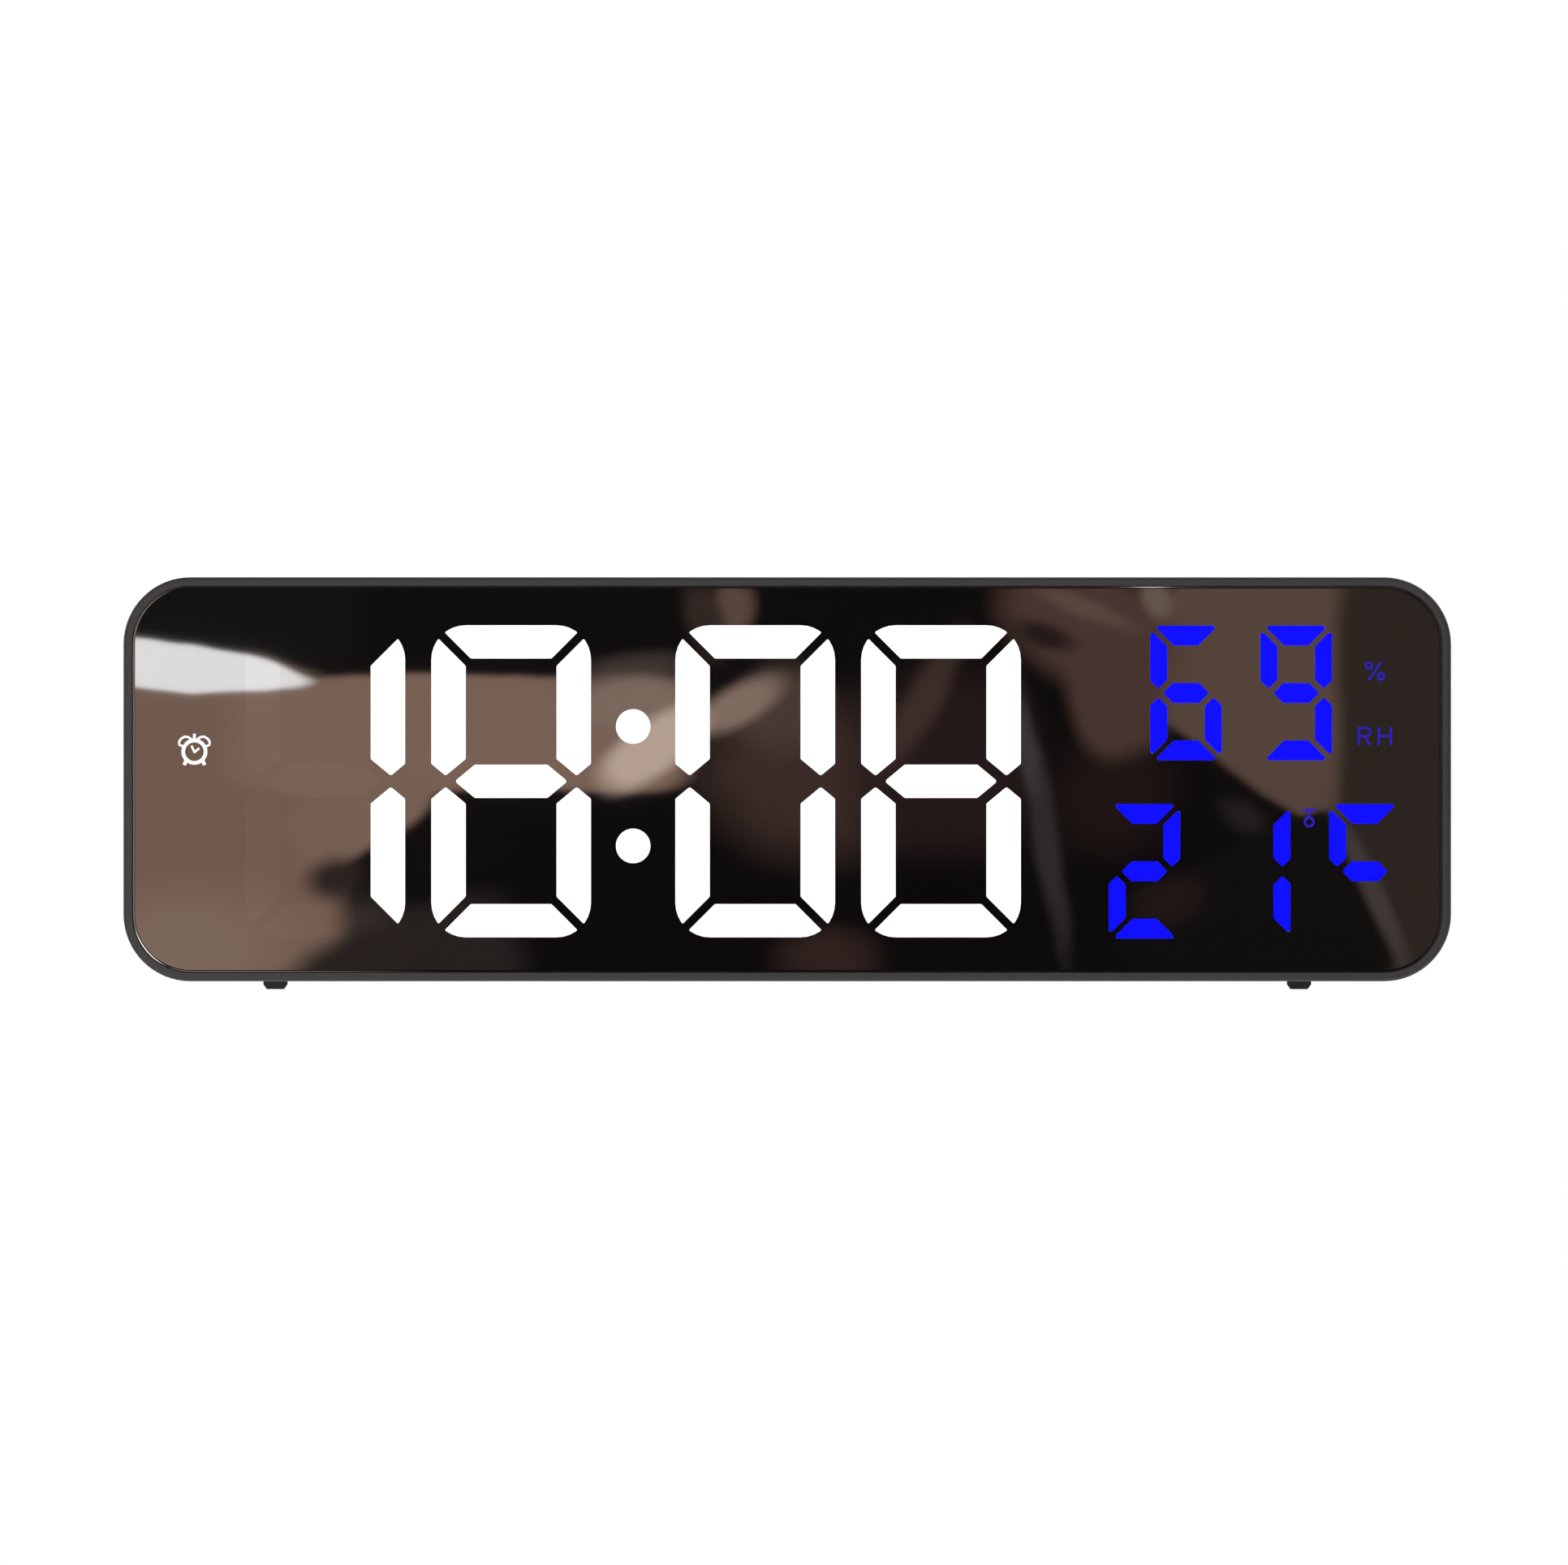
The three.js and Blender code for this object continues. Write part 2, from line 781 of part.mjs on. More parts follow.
// Circuit board with one lamp chip at the middle of each well, and the controller behind
function displayBoard() {
  const plate = cut(
    caseSlab(blockInset, at(boardFront), at(boardBack)),
    ...cornerNotches(at(boardFront), at(boardBack)),
    ...boardScrewBores(at(boardFront) - beyond, at(boardBack) + beyond),
  );
  const lamps = inserts.flatMap(({ x, z, windows }) => windows(0).map((outline) => {
    const [mx, mz] = middleOf(outline);
    return slab(x + mx, z + mz, lampSize, lampSize, at(boardFront) - lampHeight, at(boardFront) + overlap);
  }));
  const controller = slab(
    controllerX,
    keyCentreZ,
    controllerSize,
    controllerSize,
    at(boardBack) - overlap,
    at(boardBack) + controllerHeight,
  );
  return join(plate, ...lamps, controller);
}

// A cross-recess screw with its head towards +Y and its seat at its origin
function screw(length) {
  const core = screwShank / 2;
  const head = screwHead / 2;
  const body = revolve([
    [0, -length],
    [core, -length],
    [core, 0],
    [head, 0],
    [head, screwHeadHeight - screwChamfer],
    [head - screwChamfer, screwHeadHeight],
    [0, screwHeadHeight],
  ], screwSides);
  const floor = screwHeadHeight - recessDepth;
  return cut(
    body,
    slab(0, 0, recessLength, recessWidth, floor, screwHeadHeight + beyond),
    slab(0, 0, recessWidth, recessLength, floor, screwHeadHeight + beyond),
  );
}

// Battery bay places

const bayLength = cellLength + 2 * contactSpace;
const cellPitch = cellDiameter + cellSpace;
const bayHeight = cellPitch + cellDiameter + 2 * cellSide;
const doorBottom = -halfHeight + doorRise;
const bayBottom = doorBottom + doorLedge;
const bayTop = bayBottom + bayHeight;
const doorTop = bayTop + doorLedge;
const bayCentreZ = (bayBottom + bayTop) / 2;
const bayLeft = bayCentreX - bayLength / 2;
const bayRight = bayCentreX + bayLength / 2;
const doorLeft = bayLeft - doorLedge;
const doorRight = bayRight + doorLedge;
const bayBack = -(doorSink + doorThickness + fitGap);
const bayFront = bayBack - cellDiameter - cellUnder;
const cellY = bayBack - cellDiameter / 2;
const upperCellZ = bayCentreZ + cellPitch / 2;
const lowerCellZ = bayCentreZ - cellPitch / 2;
const doorAxisY = -(doorSink + doorThickness / 2);
const doorAxisZ = doorBottom + doorThickness / 2;
const bayOuterSide = doorPinLength + fitGap + bayWall;
const tabFront = bayFront + tabRise;
const tabEndX = bayLeft - bayOuterSide - tabReach;

function batteryDoor() {
  const outer = -doorSink;
  const inner = outer - doorThickness;
  const pinEnd = doorPinLength;
  const panel = join(
    block(doorLeft, doorRight, inner, outer, doorAxisZ, doorTop),
    rodAlongX(doorAxisY, doorAxisZ, doorThickness / 2, doorLeft, doorRight),
    rodAlongX(doorAxisY, doorAxisZ, doorPin / 2, doorLeft - pinEnd, doorRight + pinEnd, screwSides),
    slab(bayCentreX, doorTop, tongueWidth, 2 * tongueHeight, inner, outer),
  );
  const scoopTop = doorTop - tongueHeight;
  const scoop = clip(circle(bayCentreX, scoopTop, scoopRadius, 2 * discSides), 0, -1, -scoopTop);
  return cut(panel, prism(scoop, outer - scoopDepth, outer + beyond));
}

// A round cell along X with its nub towards +X, or towards -X where side is -1
function cell(side) {
  const half = cellLength / 2;
  const shoulder = half - cellNubHeight;
  return join(
    rodAlongX(0, 0, cellDiameter / 2, -side * half, side * shoulder, cellSides),
    rodAlongX(0, 0, cellNub / 2, side * (shoulder - overlap), side * half, boreSides),
  );
}

// A coil that narrows from its plate towards the cell
class ConeCoil extends THREE.Curve {
  constructor(x0, x1, wide, narrow, turns, y, z) {
    super();
    Object.assign(this, { x0, x1, wide, narrow, turns, y, z });
  }

  getPoint(t, target = new THREE.Vector3()) {
    const radius = this.wide + t * (this.narrow - this.wide);
    const turn = 2 * Math.PI * this.turns * t;
    return target.set(
      this.x0 + t * (this.x1 - this.x0),
      this.y + radius * Math.cos(turn),
      this.z + radius * Math.sin(turn),
    );
  }
}

function contactCoil(wallX, side, z) {
  const plate = windowGap + contactThickness;
  const start = wallX + side * (plate + springWire * 0.2);
  const end = wallX + side * (contactSpace - fitGap - springWire / 2);
  return new ConeCoil(start, end, springWide, springNarrow, springTurns, cellY, z);
}

function leastCoilGap(coil) {
  const points = coil.getPoints(coilSteps * 8);
  const halfTurn = Math.ceil(points.length / springTurns / 2);
  let least = Infinity;
  for (let i = 0; i < points.length; i += 1) {
    for (let j = i + halfTurn; j < points.length; j += 1) {
      least = Math.min(least, points[i].distanceTo(points[j]) - springWire);
    }
  }
  return least;
}

function contactPlate(wallX, side, zLow, zHigh) {
  const near = wallX + side * windowGap;
  const far = near + side * contactThickness;
  return block(near, far, cellY - contactWidth / 2, cellY + contactWidth / 2, zLow, zHigh);
}

// The pressed dimple that meets a cell's nub
function contactDimple(wallX, side, z) {
  const start = wallX + side * (windowGap + contactThickness / 2);
  const end = wallX + side * (contactSpace - fitGap);
  return rodAlongX(cellY, z, cellNub / 2, start, end, screwSides);
}

// A contact's foot, which turns through the bay wall as a solder tab
function contactTab(z) {
  const plateX = bayLeft + windowGap;
  const low = z - tabWidth / 2;
  const high = z + tabWidth / 2;
  return join(
    block(tabEndX, plateX + contactThickness / 2, tabFront, tabFront + tabHeight, low, high),
    block(plateX, plateX + contactThickness, tabFront, cellY, low, high),
  );
}

const halfPlate = contactWidth / 2;
const negativeCoil = contactCoil(bayLeft, 1, lowerCellZ);
const bridgeCoil = contactCoil(bayRight, -1, upperCellZ);

function positiveContact() {
  return join(
    contactPlate(bayLeft, 1, upperCellZ - halfPlate, upperCellZ + halfPlate),
    contactDimple(bayLeft, 1, upperCellZ),
    contactTab(upperCellZ),
  );
}

function negativeContact() {
  return join(
    contactPlate(bayLeft, 1, lowerCellZ - halfPlate, lowerCellZ + halfPlate),
    tube(negativeCoil, springWire / 2, coilSteps),
    contactTab(lowerCellZ),
  );
}

function bridgeContact() {
  return join(
    contactPlate(bayRight, -1, lowerCellZ - halfPlate, upperCellZ + halfPlate),
    contactDimple(bayRight, -1, lowerCellZ),
    tube(bridgeCoil, springWire / 2, coilSteps),
  );
}

// Key strip places

const keyCentreZ = doorTop + keyAboveDoor;
const keyHoleRadius = keyDiameter / 2 + fitGap;
const keyStripWidth = (keyCount - 1) * keyPitch + keyDiameter + 2 * keyEdge;
const keyStripHeight = keyDiameter + 2 * keyMargin;
const keyFloor = -keyRecess;
const keyInner = keyFloor - backWall;
const keyXs = Array.from({ length: keyCount }, (_, i) => (i - (keyCount - 1) / 2) * keyPitch);
const keyFlangeBack = keyInner - fitGap;
const keyFlangeFront = keyFlangeBack - keyFlangeHeight;
const keyStemEnd = keyFlangeFront - keyStemLength;
const plungerBack = keyStemEnd - seatGap;
const plungerFront = plungerBack - plungerLength;
const switchBack = keyStemEnd - switchStandoff;
const keyBoardBack = switchBack - switchHeight;
const keyBoardFront = keyBoardBack - keyBoardThickness;
const keyPostX = ((keyCount - 1) / 2) * keyPitch + keyPostAside;
const keyPostXs = [-keyPostX, keyPostX];
const keyBoardWidth = 2 * (keyPostX + keyPostRadius);

// A key cap with a dished face, held behind the housing by its flange
function keyCap() {
  const radius = keyDiameter / 2;
  const face = keyFloor + keyProud;
  return revolve([
    [0, keyStemEnd],
    [keyStem / 2, keyStemEnd],
    [keyStem / 2, keyFlangeFront],
    [radius + keyFlange, keyFlangeFront],
    [radius + keyFlange, keyFlangeBack],
    [radius, keyFlangeBack],
    [radius, face - keyRound],
    [radius - keyRound, face],
    [0, face - keyDish],
  ], keySides);
}

function keyPlunger() {
  return post(0, 0, keyStem / 2, plungerFront, plungerBack, boreSides);
}

// The key board carries four switch bodies, each bored for its plunger
function keyBoard() {
  const plate = slab(0, keyCentreZ, keyBoardWidth, keyBoardHeight, keyBoardFront, keyBoardBack);
  const switches = keyXs.map(
    (x) => slab(x, keyCentreZ, switchSize, switchSize, keyBoardBack - overlap, switchBack),
  );
  const boreFront = plungerFront - keyTravel - fitGap;
  const bores = keyXs.map(
    (x) => post(x, keyCentreZ, keyStem / 2 + fitGap, boreFront, switchBack + beyond, boreSides),
  );
  const screwBore = screwShank / 2 + windowGap;
  const screwBores = keyPostXs.map(
    (x) => post(x, keyCentreZ, screwBore, keyBoardFront - beyond, keyBoardBack + beyond, screwSides),
  );
  return cut(join(plate, ...switches), ...bores, ...screwBores);
}

// Fold-out leg places

const legX = halfWidth - legInset;
const legTip = -halfHeight - legReach;
const legHingeZ = legTip + legLength;
const legPinY = -(legSink + legThickness / 2);
const channelWidth = legWidth + 2 * legSideGap;
const channelDepth = legSink + legThickness + fitGap;
const channelOuter = channelWidth / 2 + channelWall;
const channelTop = legHingeZ + legThickness / 2 + legTopGap;

// A leg about its own hinge line, hanging down, with a fingernail notch near its foot
function leg() {
  const half = legWidth / 2;
  const back = legThickness / 2;
  const bar = prism([
    [-half + legChamfer, -legLength],
    [half - legChamfer, -legLength],
    [half, -legLength + legChamferRise],
    [half, 0],
    [-half, 0],
    [-half, -legLength + legChamferRise],
  ], -back, back);
  const notch = circle(0, legNotchRise - legLength, legNotchRadius, keySides);
  return cut(
    join(bar, rodAlongX(0, 0, back, -half, half)),
    rodAlongX(0, 0, legBore / 2, -half - beyond, half + beyond, boreSides),
    prism(notch, back - legNotchDepth, back + beyond),
  );
}

function legPinRod() {
  return rodAlongX(0, 0, legPin / 2, -channelOuter + windowGap, channelOuter - windowGap, boreSides);
}

// Power inlet places

const inletTopZ = -halfHeight + inletTop;
const socketY = -socketBehind;
const socketMouth = inletTopZ - overlap;
const socketEnd = socketMouth + socketLength;
const powerBoardBack = socketY - socketHeight / 2 - windowGap;
const powerBoardFront = powerBoardBack - powerBoardThickness;
const powerBoardBottom = inletTopZ + inletWall + fitGap;
const powerBoardTop = powerBoardBottom + powerBoardHeight;
const powerPinPlaces = [-1, 1].map(
  (side) => [inletCentreX + side * (powerBoardWidth / 2 - powerPinInset), powerBoardTop - powerPinInset],
);

// A slot-shaped bar along Z at the socket's place
function socketBar(width, height, z0, z1) {
  return prismAlongZ(roundedRect(width, height, height / 2, inletCentreX, socketY, smallSteps), z0, z1);
}

// A USB-C receptacle: a pressed shell with its tongue, open downwards
function usbSocket() {
  const floor = socketEnd - socketFloor;
  const wall = 2 * socketWall;
  const shell = cut(
    socketBar(socketWidth, socketHeight, socketMouth, socketEnd),
    socketBar(socketWidth - wall, socketHeight - wall, socketMouth - beyond, floor),
  );
  const half = socketWidth / 2 - tongueSide;
  return join(shell, block(
    inletCentreX - half,
    inletCentreX + half,
    socketY - tongueThickness / 2,
    socketY + tongueThickness / 2,
    socketMouth + tongueSink,
    floor + overlap,
  ));
}

function powerBoard() {
  const plate = slab(
    inletCentreX,
    powerBoardTop - powerBoardHeight / 2,
    powerBoardWidth,
    powerBoardHeight,
    powerBoardFront,
    powerBoardBack,
  );
  const regulator = slab(
    inletCentreX,
    powerBoardTop - regulatorDrop,
    regulatorWidth,
    regulatorHeight,
    powerBoardFront - regulatorThickness,
    powerBoardFront + overlap,
  );
  const bore = powerPin / 2 + tabGap;
  const holes = powerPinPlaces.map(
    ([x, z]) => post(x, z, bore, powerBoardFront - beyond, powerBoardBack + beyond, screwSides),
  );
  return cut(join(plate, regulator), ...holes);
}

// Buzzer and climate sensor places

const buzzerZ = -halfHeight + buzzerRise;
const buzzerBack = -backWall - windowGap;
const ventZ = -halfHeight + ventRise;
const sensorBack = -backWall - sensorStandoff;

function buzzer() {
  return cut(
    post(buzzerX, buzzerZ, buzzerDiameter / 2, buzzerBack - buzzerHeight, buzzerBack),
    post(buzzerX, buzzerZ, buzzerPort / 2, buzzerBack - buzzerPortDepth, buzzerBack + beyond, screwSides),
  );
}

function climateSensor() {
  return join(
    slab(ventX, ventZ, sensorWidth, sensorHeight, sensorBack - sensorThickness, sensorBack),
    slab(ventX, ventZ, sensorChip, sensorChip, sensorBack - overlap, sensorBack + sensorChipHeight),
  );
}

// Rear housing: one moulded tub that carries everything behind the display.
// Each feature gives what it adds inside the shell and what it then takes out.

const wallMiddle = -backWall / 2;
const outside = beyond;

// The tub with rounded rear edges, and the lip that enters the front frame
function housingShell() {
  const outer = [{ y: at(housingFront), outline: caseOutline(0) }];
  const hollow = [{ y: at(housingFront) - beyond, outline: caseOutline(caseWall) }];
  const innerRound = rearRound - backWall;
  for (let i = 0; i <= roundSteps; i += 1) {
    const turn = (Math.PI / 2) * (i / roundSteps);
    const inward = 1 - Math.cos(turn);
    const back = 1 - Math.sin(turn);
    outer.push({ y: -rearRound * back, outline: caseOutline(rearRound * inward) });
    hollow.push({ y: -backWall - innerRound * back, outline: caseOutline(caseWall + innerRound * inward) });
  }
  const lipFront = at(housingFront) - lipDepth;
  const lipBack = at(housingFront) + lipThickness;
  const lip = loft([
    { y: lipFront, outline: caseOutline(caseWall + lipGap) },
    { y: at(housingFront), outline: caseOutline(caseWall + lipGap) },
    { y: at(housingFront), outline: caseOutline(caseWall / 2) },
    { y: lipBack, outline: caseOutline(caseWall / 2) },
  ]);
  const lipBore = caseSlab(caseWall + lipGap + lipThickness, lipFront - beyond, lipBack + beyond);
  return join(cut(loft(outer), loft(hollow)), cut(lip, lipBore));
}

// Posts for the case screws with a counterbore from behind
function caseScrewPost([x, z]) {
  return {
    added: [post(x, z, bossRadius, at(housingFront), wallMiddle, boreSides)],
    removed: [
      post(x, z, screwHead / 2 + fitGap, -counterboreDepth, outside, boreSides),
      post(x, z, screwShank / 2 + fitGap, at(housingFront) - beyond, wallMiddle, screwSides),
    ],
  };
}

// Posts that hold the display board against the reflector block
function holdPost([x, z]) {
  const standing = post(x, z, holdPostRadius, at(boardBack) + windowGap, wallMiddle, screwSides);
  return { added: [standing], removed: [] };
}

// A keyhole hanger: round entry, narrow slot above it, and a closed pocket for the screw's head
function hanger(side) {
  const x = (side * hangSpacing) / 2;
  const entryZ = halfHeight - hangDrop;
  const topZ = entryZ + hangRise;
  const half = hangEntry / 2 + hangPocketSide;
  const roof = topZ + hangSlot / 2 + hangPocketTop;
  const pocketFront = -backWall - hangPocketDepth;
  const wall = hangPocketWall;
  const slotFront = -backWall - overlap;
  return {
    added: [block(
      x - half - wall,
      x + half + wall,
      pocketFront - wall,
      wallMiddle,
      entryZ - half - wall,
      roof + wall,
    )],
    removed: [
      block(x - half, x + half, pocketFront, -backWall, entryZ - half, roof),
      post(x, entryZ, hangEntry / 2, slotFront, outside),
      post(x, topZ, hangSlot / 2, slotFront, outside, keySides),
      block(x - hangSlot / 2, x + hangSlot / 2, slotFront, outside, entryZ, topZ),
    ],
  };
}

// A channel for a folded leg, open at the bottom edge, bored across for the leg's pin
function legChannel(side) {
  const x = side * legX;
  const half = channelWidth / 2;
  const bottom = -halfHeight + caseWall / 2;
  const roof = channelTop + channelWall;
  const floor = -channelDepth - channelFloor;
  const boreEnds = channelOuter + beyond;
  return {
    added: [block(x - channelOuter, x + channelOuter, floor, wallMiddle, bottom, roof)],
    removed: [
      block(x - half, x + half, -channelDepth, outside, -halfHeight - beyond, channelTop),
      rodAlongX(legPinY, legHingeZ, legPinHole / 2, x - boreEnds, x + boreEnds, screwSides),
    ],
  };
}

// The sunk strip with a hole for each key, and two posts for the key board
function keyStrip() {
  const strip = roundedRect(keyStripWidth, keyStripHeight, keyStripHeight / 2, 0, keyCentreZ);
  const outerHeight = keyStripHeight + 2 * backWall;
  const walled = roundedRect(keyStripWidth + 2 * backWall, outerHeight, outerHeight / 2, 0, keyCentreZ);
  const bore = screwShank / 2 + windowGap;
  const boreBack = keyBoardFront + keyScrewLength + boreEnd;
  return {
    added: [
      prism(walled, keyInner, wallMiddle),
      ...keyPostXs.map(
        (x) => post(x, keyCentreZ, keyPostRadius, keyBoardBack + seatGap, keyInner + overlap, screwSides),
      ),
    ],
    removed: [
      prism(strip, keyFloor, outside),
      ...keyXs.map((x) => post(x, keyCentreZ, keyHoleRadius, keyInner - beyond, outside, keySides)),
      ...keyPostXs.map((x) => post(x, keyCentreZ, bore, keyBoardBack - beyond, boreBack, screwSides)),
    ],
  };
}

// The battery bay with the door's seat, its hinge bores, the tongue's seat and the solder tabs' slots
function batteryBay() {
  const tongueSide = tongueWidth / 2 + fitGap;
  const tongueTop = doorTop + tongueHeight + fitGap;
  const pinEnd = doorPinLength + fitGap;
  return {
    added: [
      block(
        doorLeft - bayOuterSide,
        doorRight + bayOuterSide,
        bayFront - bayFloor,
        wallMiddle,
        doorBottom - fitGap - bayWall,
        doorTop + fitGap + bayWall,
      ),
      block(
        bayCentreX - tongueSide - bayWall,
        bayCentreX + tongueSide + bayWall,
        bayBack - bayWall,
        wallMiddle,
        doorTop,
        tongueTop + bayWall,
      ),
    ],
    removed: [
      block(bayLeft, bayRight, bayFront, outside, bayBottom, bayTop),
      block(doorLeft - fitGap, doorRight + fitGap, bayBack, outside, doorBottom - fitGap, doorTop + fitGap),
      block(bayCentreX - tongueSide, bayCentreX + tongueSide, bayBack, outside, doorTop, tongueTop),
      rodAlongX(
        doorAxisY,
        doorAxisZ,
        doorPin / 2 + fitGap,
        doorLeft - pinEnd,
        doorRight + pinEnd,
        screwSides,
      ),
      ...[upperCellZ, lowerCellZ].map((z) => block(
        doorLeft - bayOuterSide - beyond,
        bayLeft + beyond,
        tabFront - tabGap,
        tabFront + tabHeight + tabGap,
        z - tabWidth / 2 - tabGap,
        z + tabWidth / 2 + tabGap,
      )),
    ],
  };
}

// The bay in the bottom edge that a plug reaches up into, and the posts of the power board
function inletBay() {
  const half = inletWidth / 2;
  const left = inletCentreX - half;
  const right = inletCentreX + half;
  const bottom = -halfHeight + caseWall / 2;
  const roof = inletTopZ + inletWall;
  const room = 2 * fitGap;
  return {
    added: [
      block(left - inletWall, right + inletWall, -inletDepth - inletWall, wallMiddle, bottom, roof),
      ...powerPinPlaces.flatMap(([x, z]) => [
        post(x, z, powerPost / 2, powerBoardBack + seatGap, wallMiddle, screwSides),
        post(x, z, powerPin / 2, powerBoardFront - boreEnd, wallMiddle, screwSides),
      ]),
    ],
    removed: [
      block(left, right, -inletDepth, outside, -halfHeight - beyond, inletTopZ),
      socketBar(socketWidth + room, socketHeight + room, inletTopZ - beyond, roof + beyond),
    ],
  };
}

// The collar that holds the buzzer, over a ring of sound holes
function buzzerSeat() {
  const inner = buzzerDiameter / 2 + fitGap;
  const rimY = -backWall - buzzerCollarHeight;
  const holes = [[buzzerX, buzzerZ], ...circle(buzzerX, buzzerZ, soundRing, soundHoles)];
  return {
    added: [cut(
      post(buzzerX, buzzerZ, inner + buzzerCollar, rimY, wallMiddle),
      post(buzzerX, buzzerZ, inner, rimY - beyond, -backWall),
    )],
    removed: holes.map(([x, z]) => post(x, z, soundHole / 2, -backWall - beyond, outside, soundSides)),
  };
}

// Vent slots in front of the climate sensor, and a rail at each end of its board
function sensorSeat() {
  const slots = Array.from({ length: ventCount }, (_, i) => ventX + (i - (ventCount - 1) / 2) * ventPitch);
  const railX = sensorWidth / 2 - sensorRailLap + sensorRail / 2;
  return {
    added: [-1, 1].map((side) => slab(
      ventX + side * railX,
      ventZ,
      sensorRail,
      sensorHeight,
      sensorBack + windowGap,
      wallMiddle,
    )),
    removed: slots.map((x) => slab(x, ventZ, ventWidth, ventHeight, -backWall - beyond, outside)),
  };
}

function rearHousing() {
  const features = [
    ...fourCorners(screwX, screwZ).map(caseScrewPost),
    ...fourCorners(holdPostX, holdPostRise).map(holdPost),
    ...[-1, 1].map(hanger),
    ...[-1, 1].map(legChannel),
    keyStrip(),
    batteryBay(),
    inletBay(),
    buzzerSeat(),
    sensorSeat(),
  ];
  const whole = join(housingShell(), ...features.flatMap(({ added }) => added));
  return cut(whole, ...features.flatMap(({ removed }) => removed));
}

// Leads inside the case, and a flat ribbon that bows between the two boards

function batteryLead(cellZ, landing) {
  const tabY = tabFront + tabHeight / 2;
  const boardY = powerBoardFront - wireRadius - windowGap;
  const boardX = inletCentreX + powerBoardWidth / 2 - leadInset;
  const endZ = powerBoardTop - leadDrop - landing * leadPitch;
  const route = [
    [tabEndX - fitGap, tabY, cellZ],
    [tabEndX - leadStraight, tabY, cellZ],
    [tabEndX - leadTurn, (tabY + boardY) / 2, (cellZ + endZ) / 2],
    [boardX + leadStraight, boardY, endZ],
    [boardX, boardY, endZ],
  ];
  const curve = new THREE.CatmullRomCurve3(route.map((point) => new THREE.Vector3(...point)));
  return tube(curve, wireRadius, leadSteps);
}

function keyRibbon() {
  const z = keyCentreZ - keyBoardHeight / 2 + ribbonRise;
  const start = new THREE.Vector2(at(boardBack) + windowGap, z);
  const end = new THREE.Vector2(keyBoardFront - windowGap, z);
  const middle = new THREE.Vector2((start.x + end.x) / 2, z - ribbonBow);
  const bow = new THREE.QuadraticBezierCurve(start, middle, end).getPoints(ribbonSteps);
  const half = ribbonThickness / 2;
  const outline = [
    ...bow.map((point) => [point.x, point.y - half]),
    ...bow.reverse().map((point) => [point.x, point.y + half]),
  ];
  return prismAlongX(outline, -ribbonWidth / 2, ribbonWidth / 2);
}

// Finishes

const darkPlastic = { color: 0x2e2b2c, roughness: 0.55, metalness: 0 };
const mirrorFilm = { color: 0x4a3c36, roughness: 0.04, metalness: 0.9 };
const blackFoam = { color: 0x141414, roughness: 0.95, metalness: 0 };
const milkPlastic = { color: 0xf2f2f4, roughness: 0.5, metalness: 0 };
const bluePlastic = { color: 0x1a10e8, roughness: 0.5, metalness: 0 };
const whitePlastic = { color: 0xe8e8e4, roughness: 0.6, metalness: 0 };
const greenBoard = { color: 0x1d4a2c, roughness: 0.5, metalness: 0.1 };
const steel = { color: 0x9a9a9c, roughness: 0.35, metalness: 1 };
const keyRubber = { color: 0x3a3838, roughness: 0.8, metalness: 0 };
const cellWrap = { color: 0x55616b, roughness: 0.35, metalness: 0.4 };
const redLead = { color: 0xb01818, roughness: 0.6, metalness: 0 };
const blackLead = { color: 0x1a1a1a, roughness: 0.6, metalness: 0 };
const greyRibbon = { color: 0xa8a8a8, roughness: 0.6, metalness: 0 };

function piece(name, body, finish, place = [0, 0, 0]) {
  const mesh = new THREE.Mesh(geometryOf(body), new THREE.MeshStandardMaterial(finish));
  mesh.name = name;
  mesh.position.set(...place);
  return mesh;
}

// Assembly

const front = new THREE.Group();
front.add(
  piece('front_frame', frontFrame(), darkPlastic),
  piece('mirror_lens', mirrorLens(), mirrorFilm),
  piece('lens_tape', lensTape(), blackFoam),
);

const display = new THREE.Group();
display.add(piece('mask_plate', maskPlate(), blackFoam));
for (const insert of inserts) {
  const finish = /^(humidity|temperature|degree)/.test(insert.name) ? bluePlastic : milkPlastic;
  display.add(piece(insert.name, lightGuide(insert), finish, [insert.x, 0, insert.z]));
}
display.add(
  piece('reflector_block', reflectorBlock(), whitePlastic),
  piece('display_board', displayBoard(), greenBoard),
);
const boardScrewSeat = at(boardBack) + seatGap;
fourCorners(boardScrewX, boardScrewZ).forEach(([x, z], i) => {
  display.add(piece(`board_screw_${i + 1}`, screw(boardScrewLength), steel, [x, boardScrewSeat, z]));
});

const rear = new THREE.Group();
rear.add(piece('rear_housing', rearHousing(), darkPlastic));
const caseScrewSeat = -counterboreDepth + seatGap;
const caseScrewLength = caseScrewSeat - bossBoreFront - boreEnd;
fourCorners(screwX, screwZ).forEach(([x, z], i) => {
  rear.add(piece(`case_screw_${i + 1}`, screw(caseScrewLength), steel, [x, caseScrewSeat, z]));
});

const keys = new THREE.Group();
['set', 'mode', 'up', 'down'].forEach((name, i) => {
  keys.add(piece(`${name}_button`, keyCap(), keyRubber, [keyXs[i], 0, keyCentreZ]));
  keys.add(piece(`${name}_plunger`, keyPlunger(), blackFoam, [keyXs[i], 0, keyCentreZ]));
});
keys.add(piece('key_board', keyBoard(), greenBoard));
keyPostXs.forEach((x, i) => {
  const turned = screw(keyScrewLength).rotate([180, 0, 0]);
  keys.add(piece(`key_board_screw_${i + 1}`, turned, steel, [x, keyBoardFront - seatGap, keyCentreZ]));
});

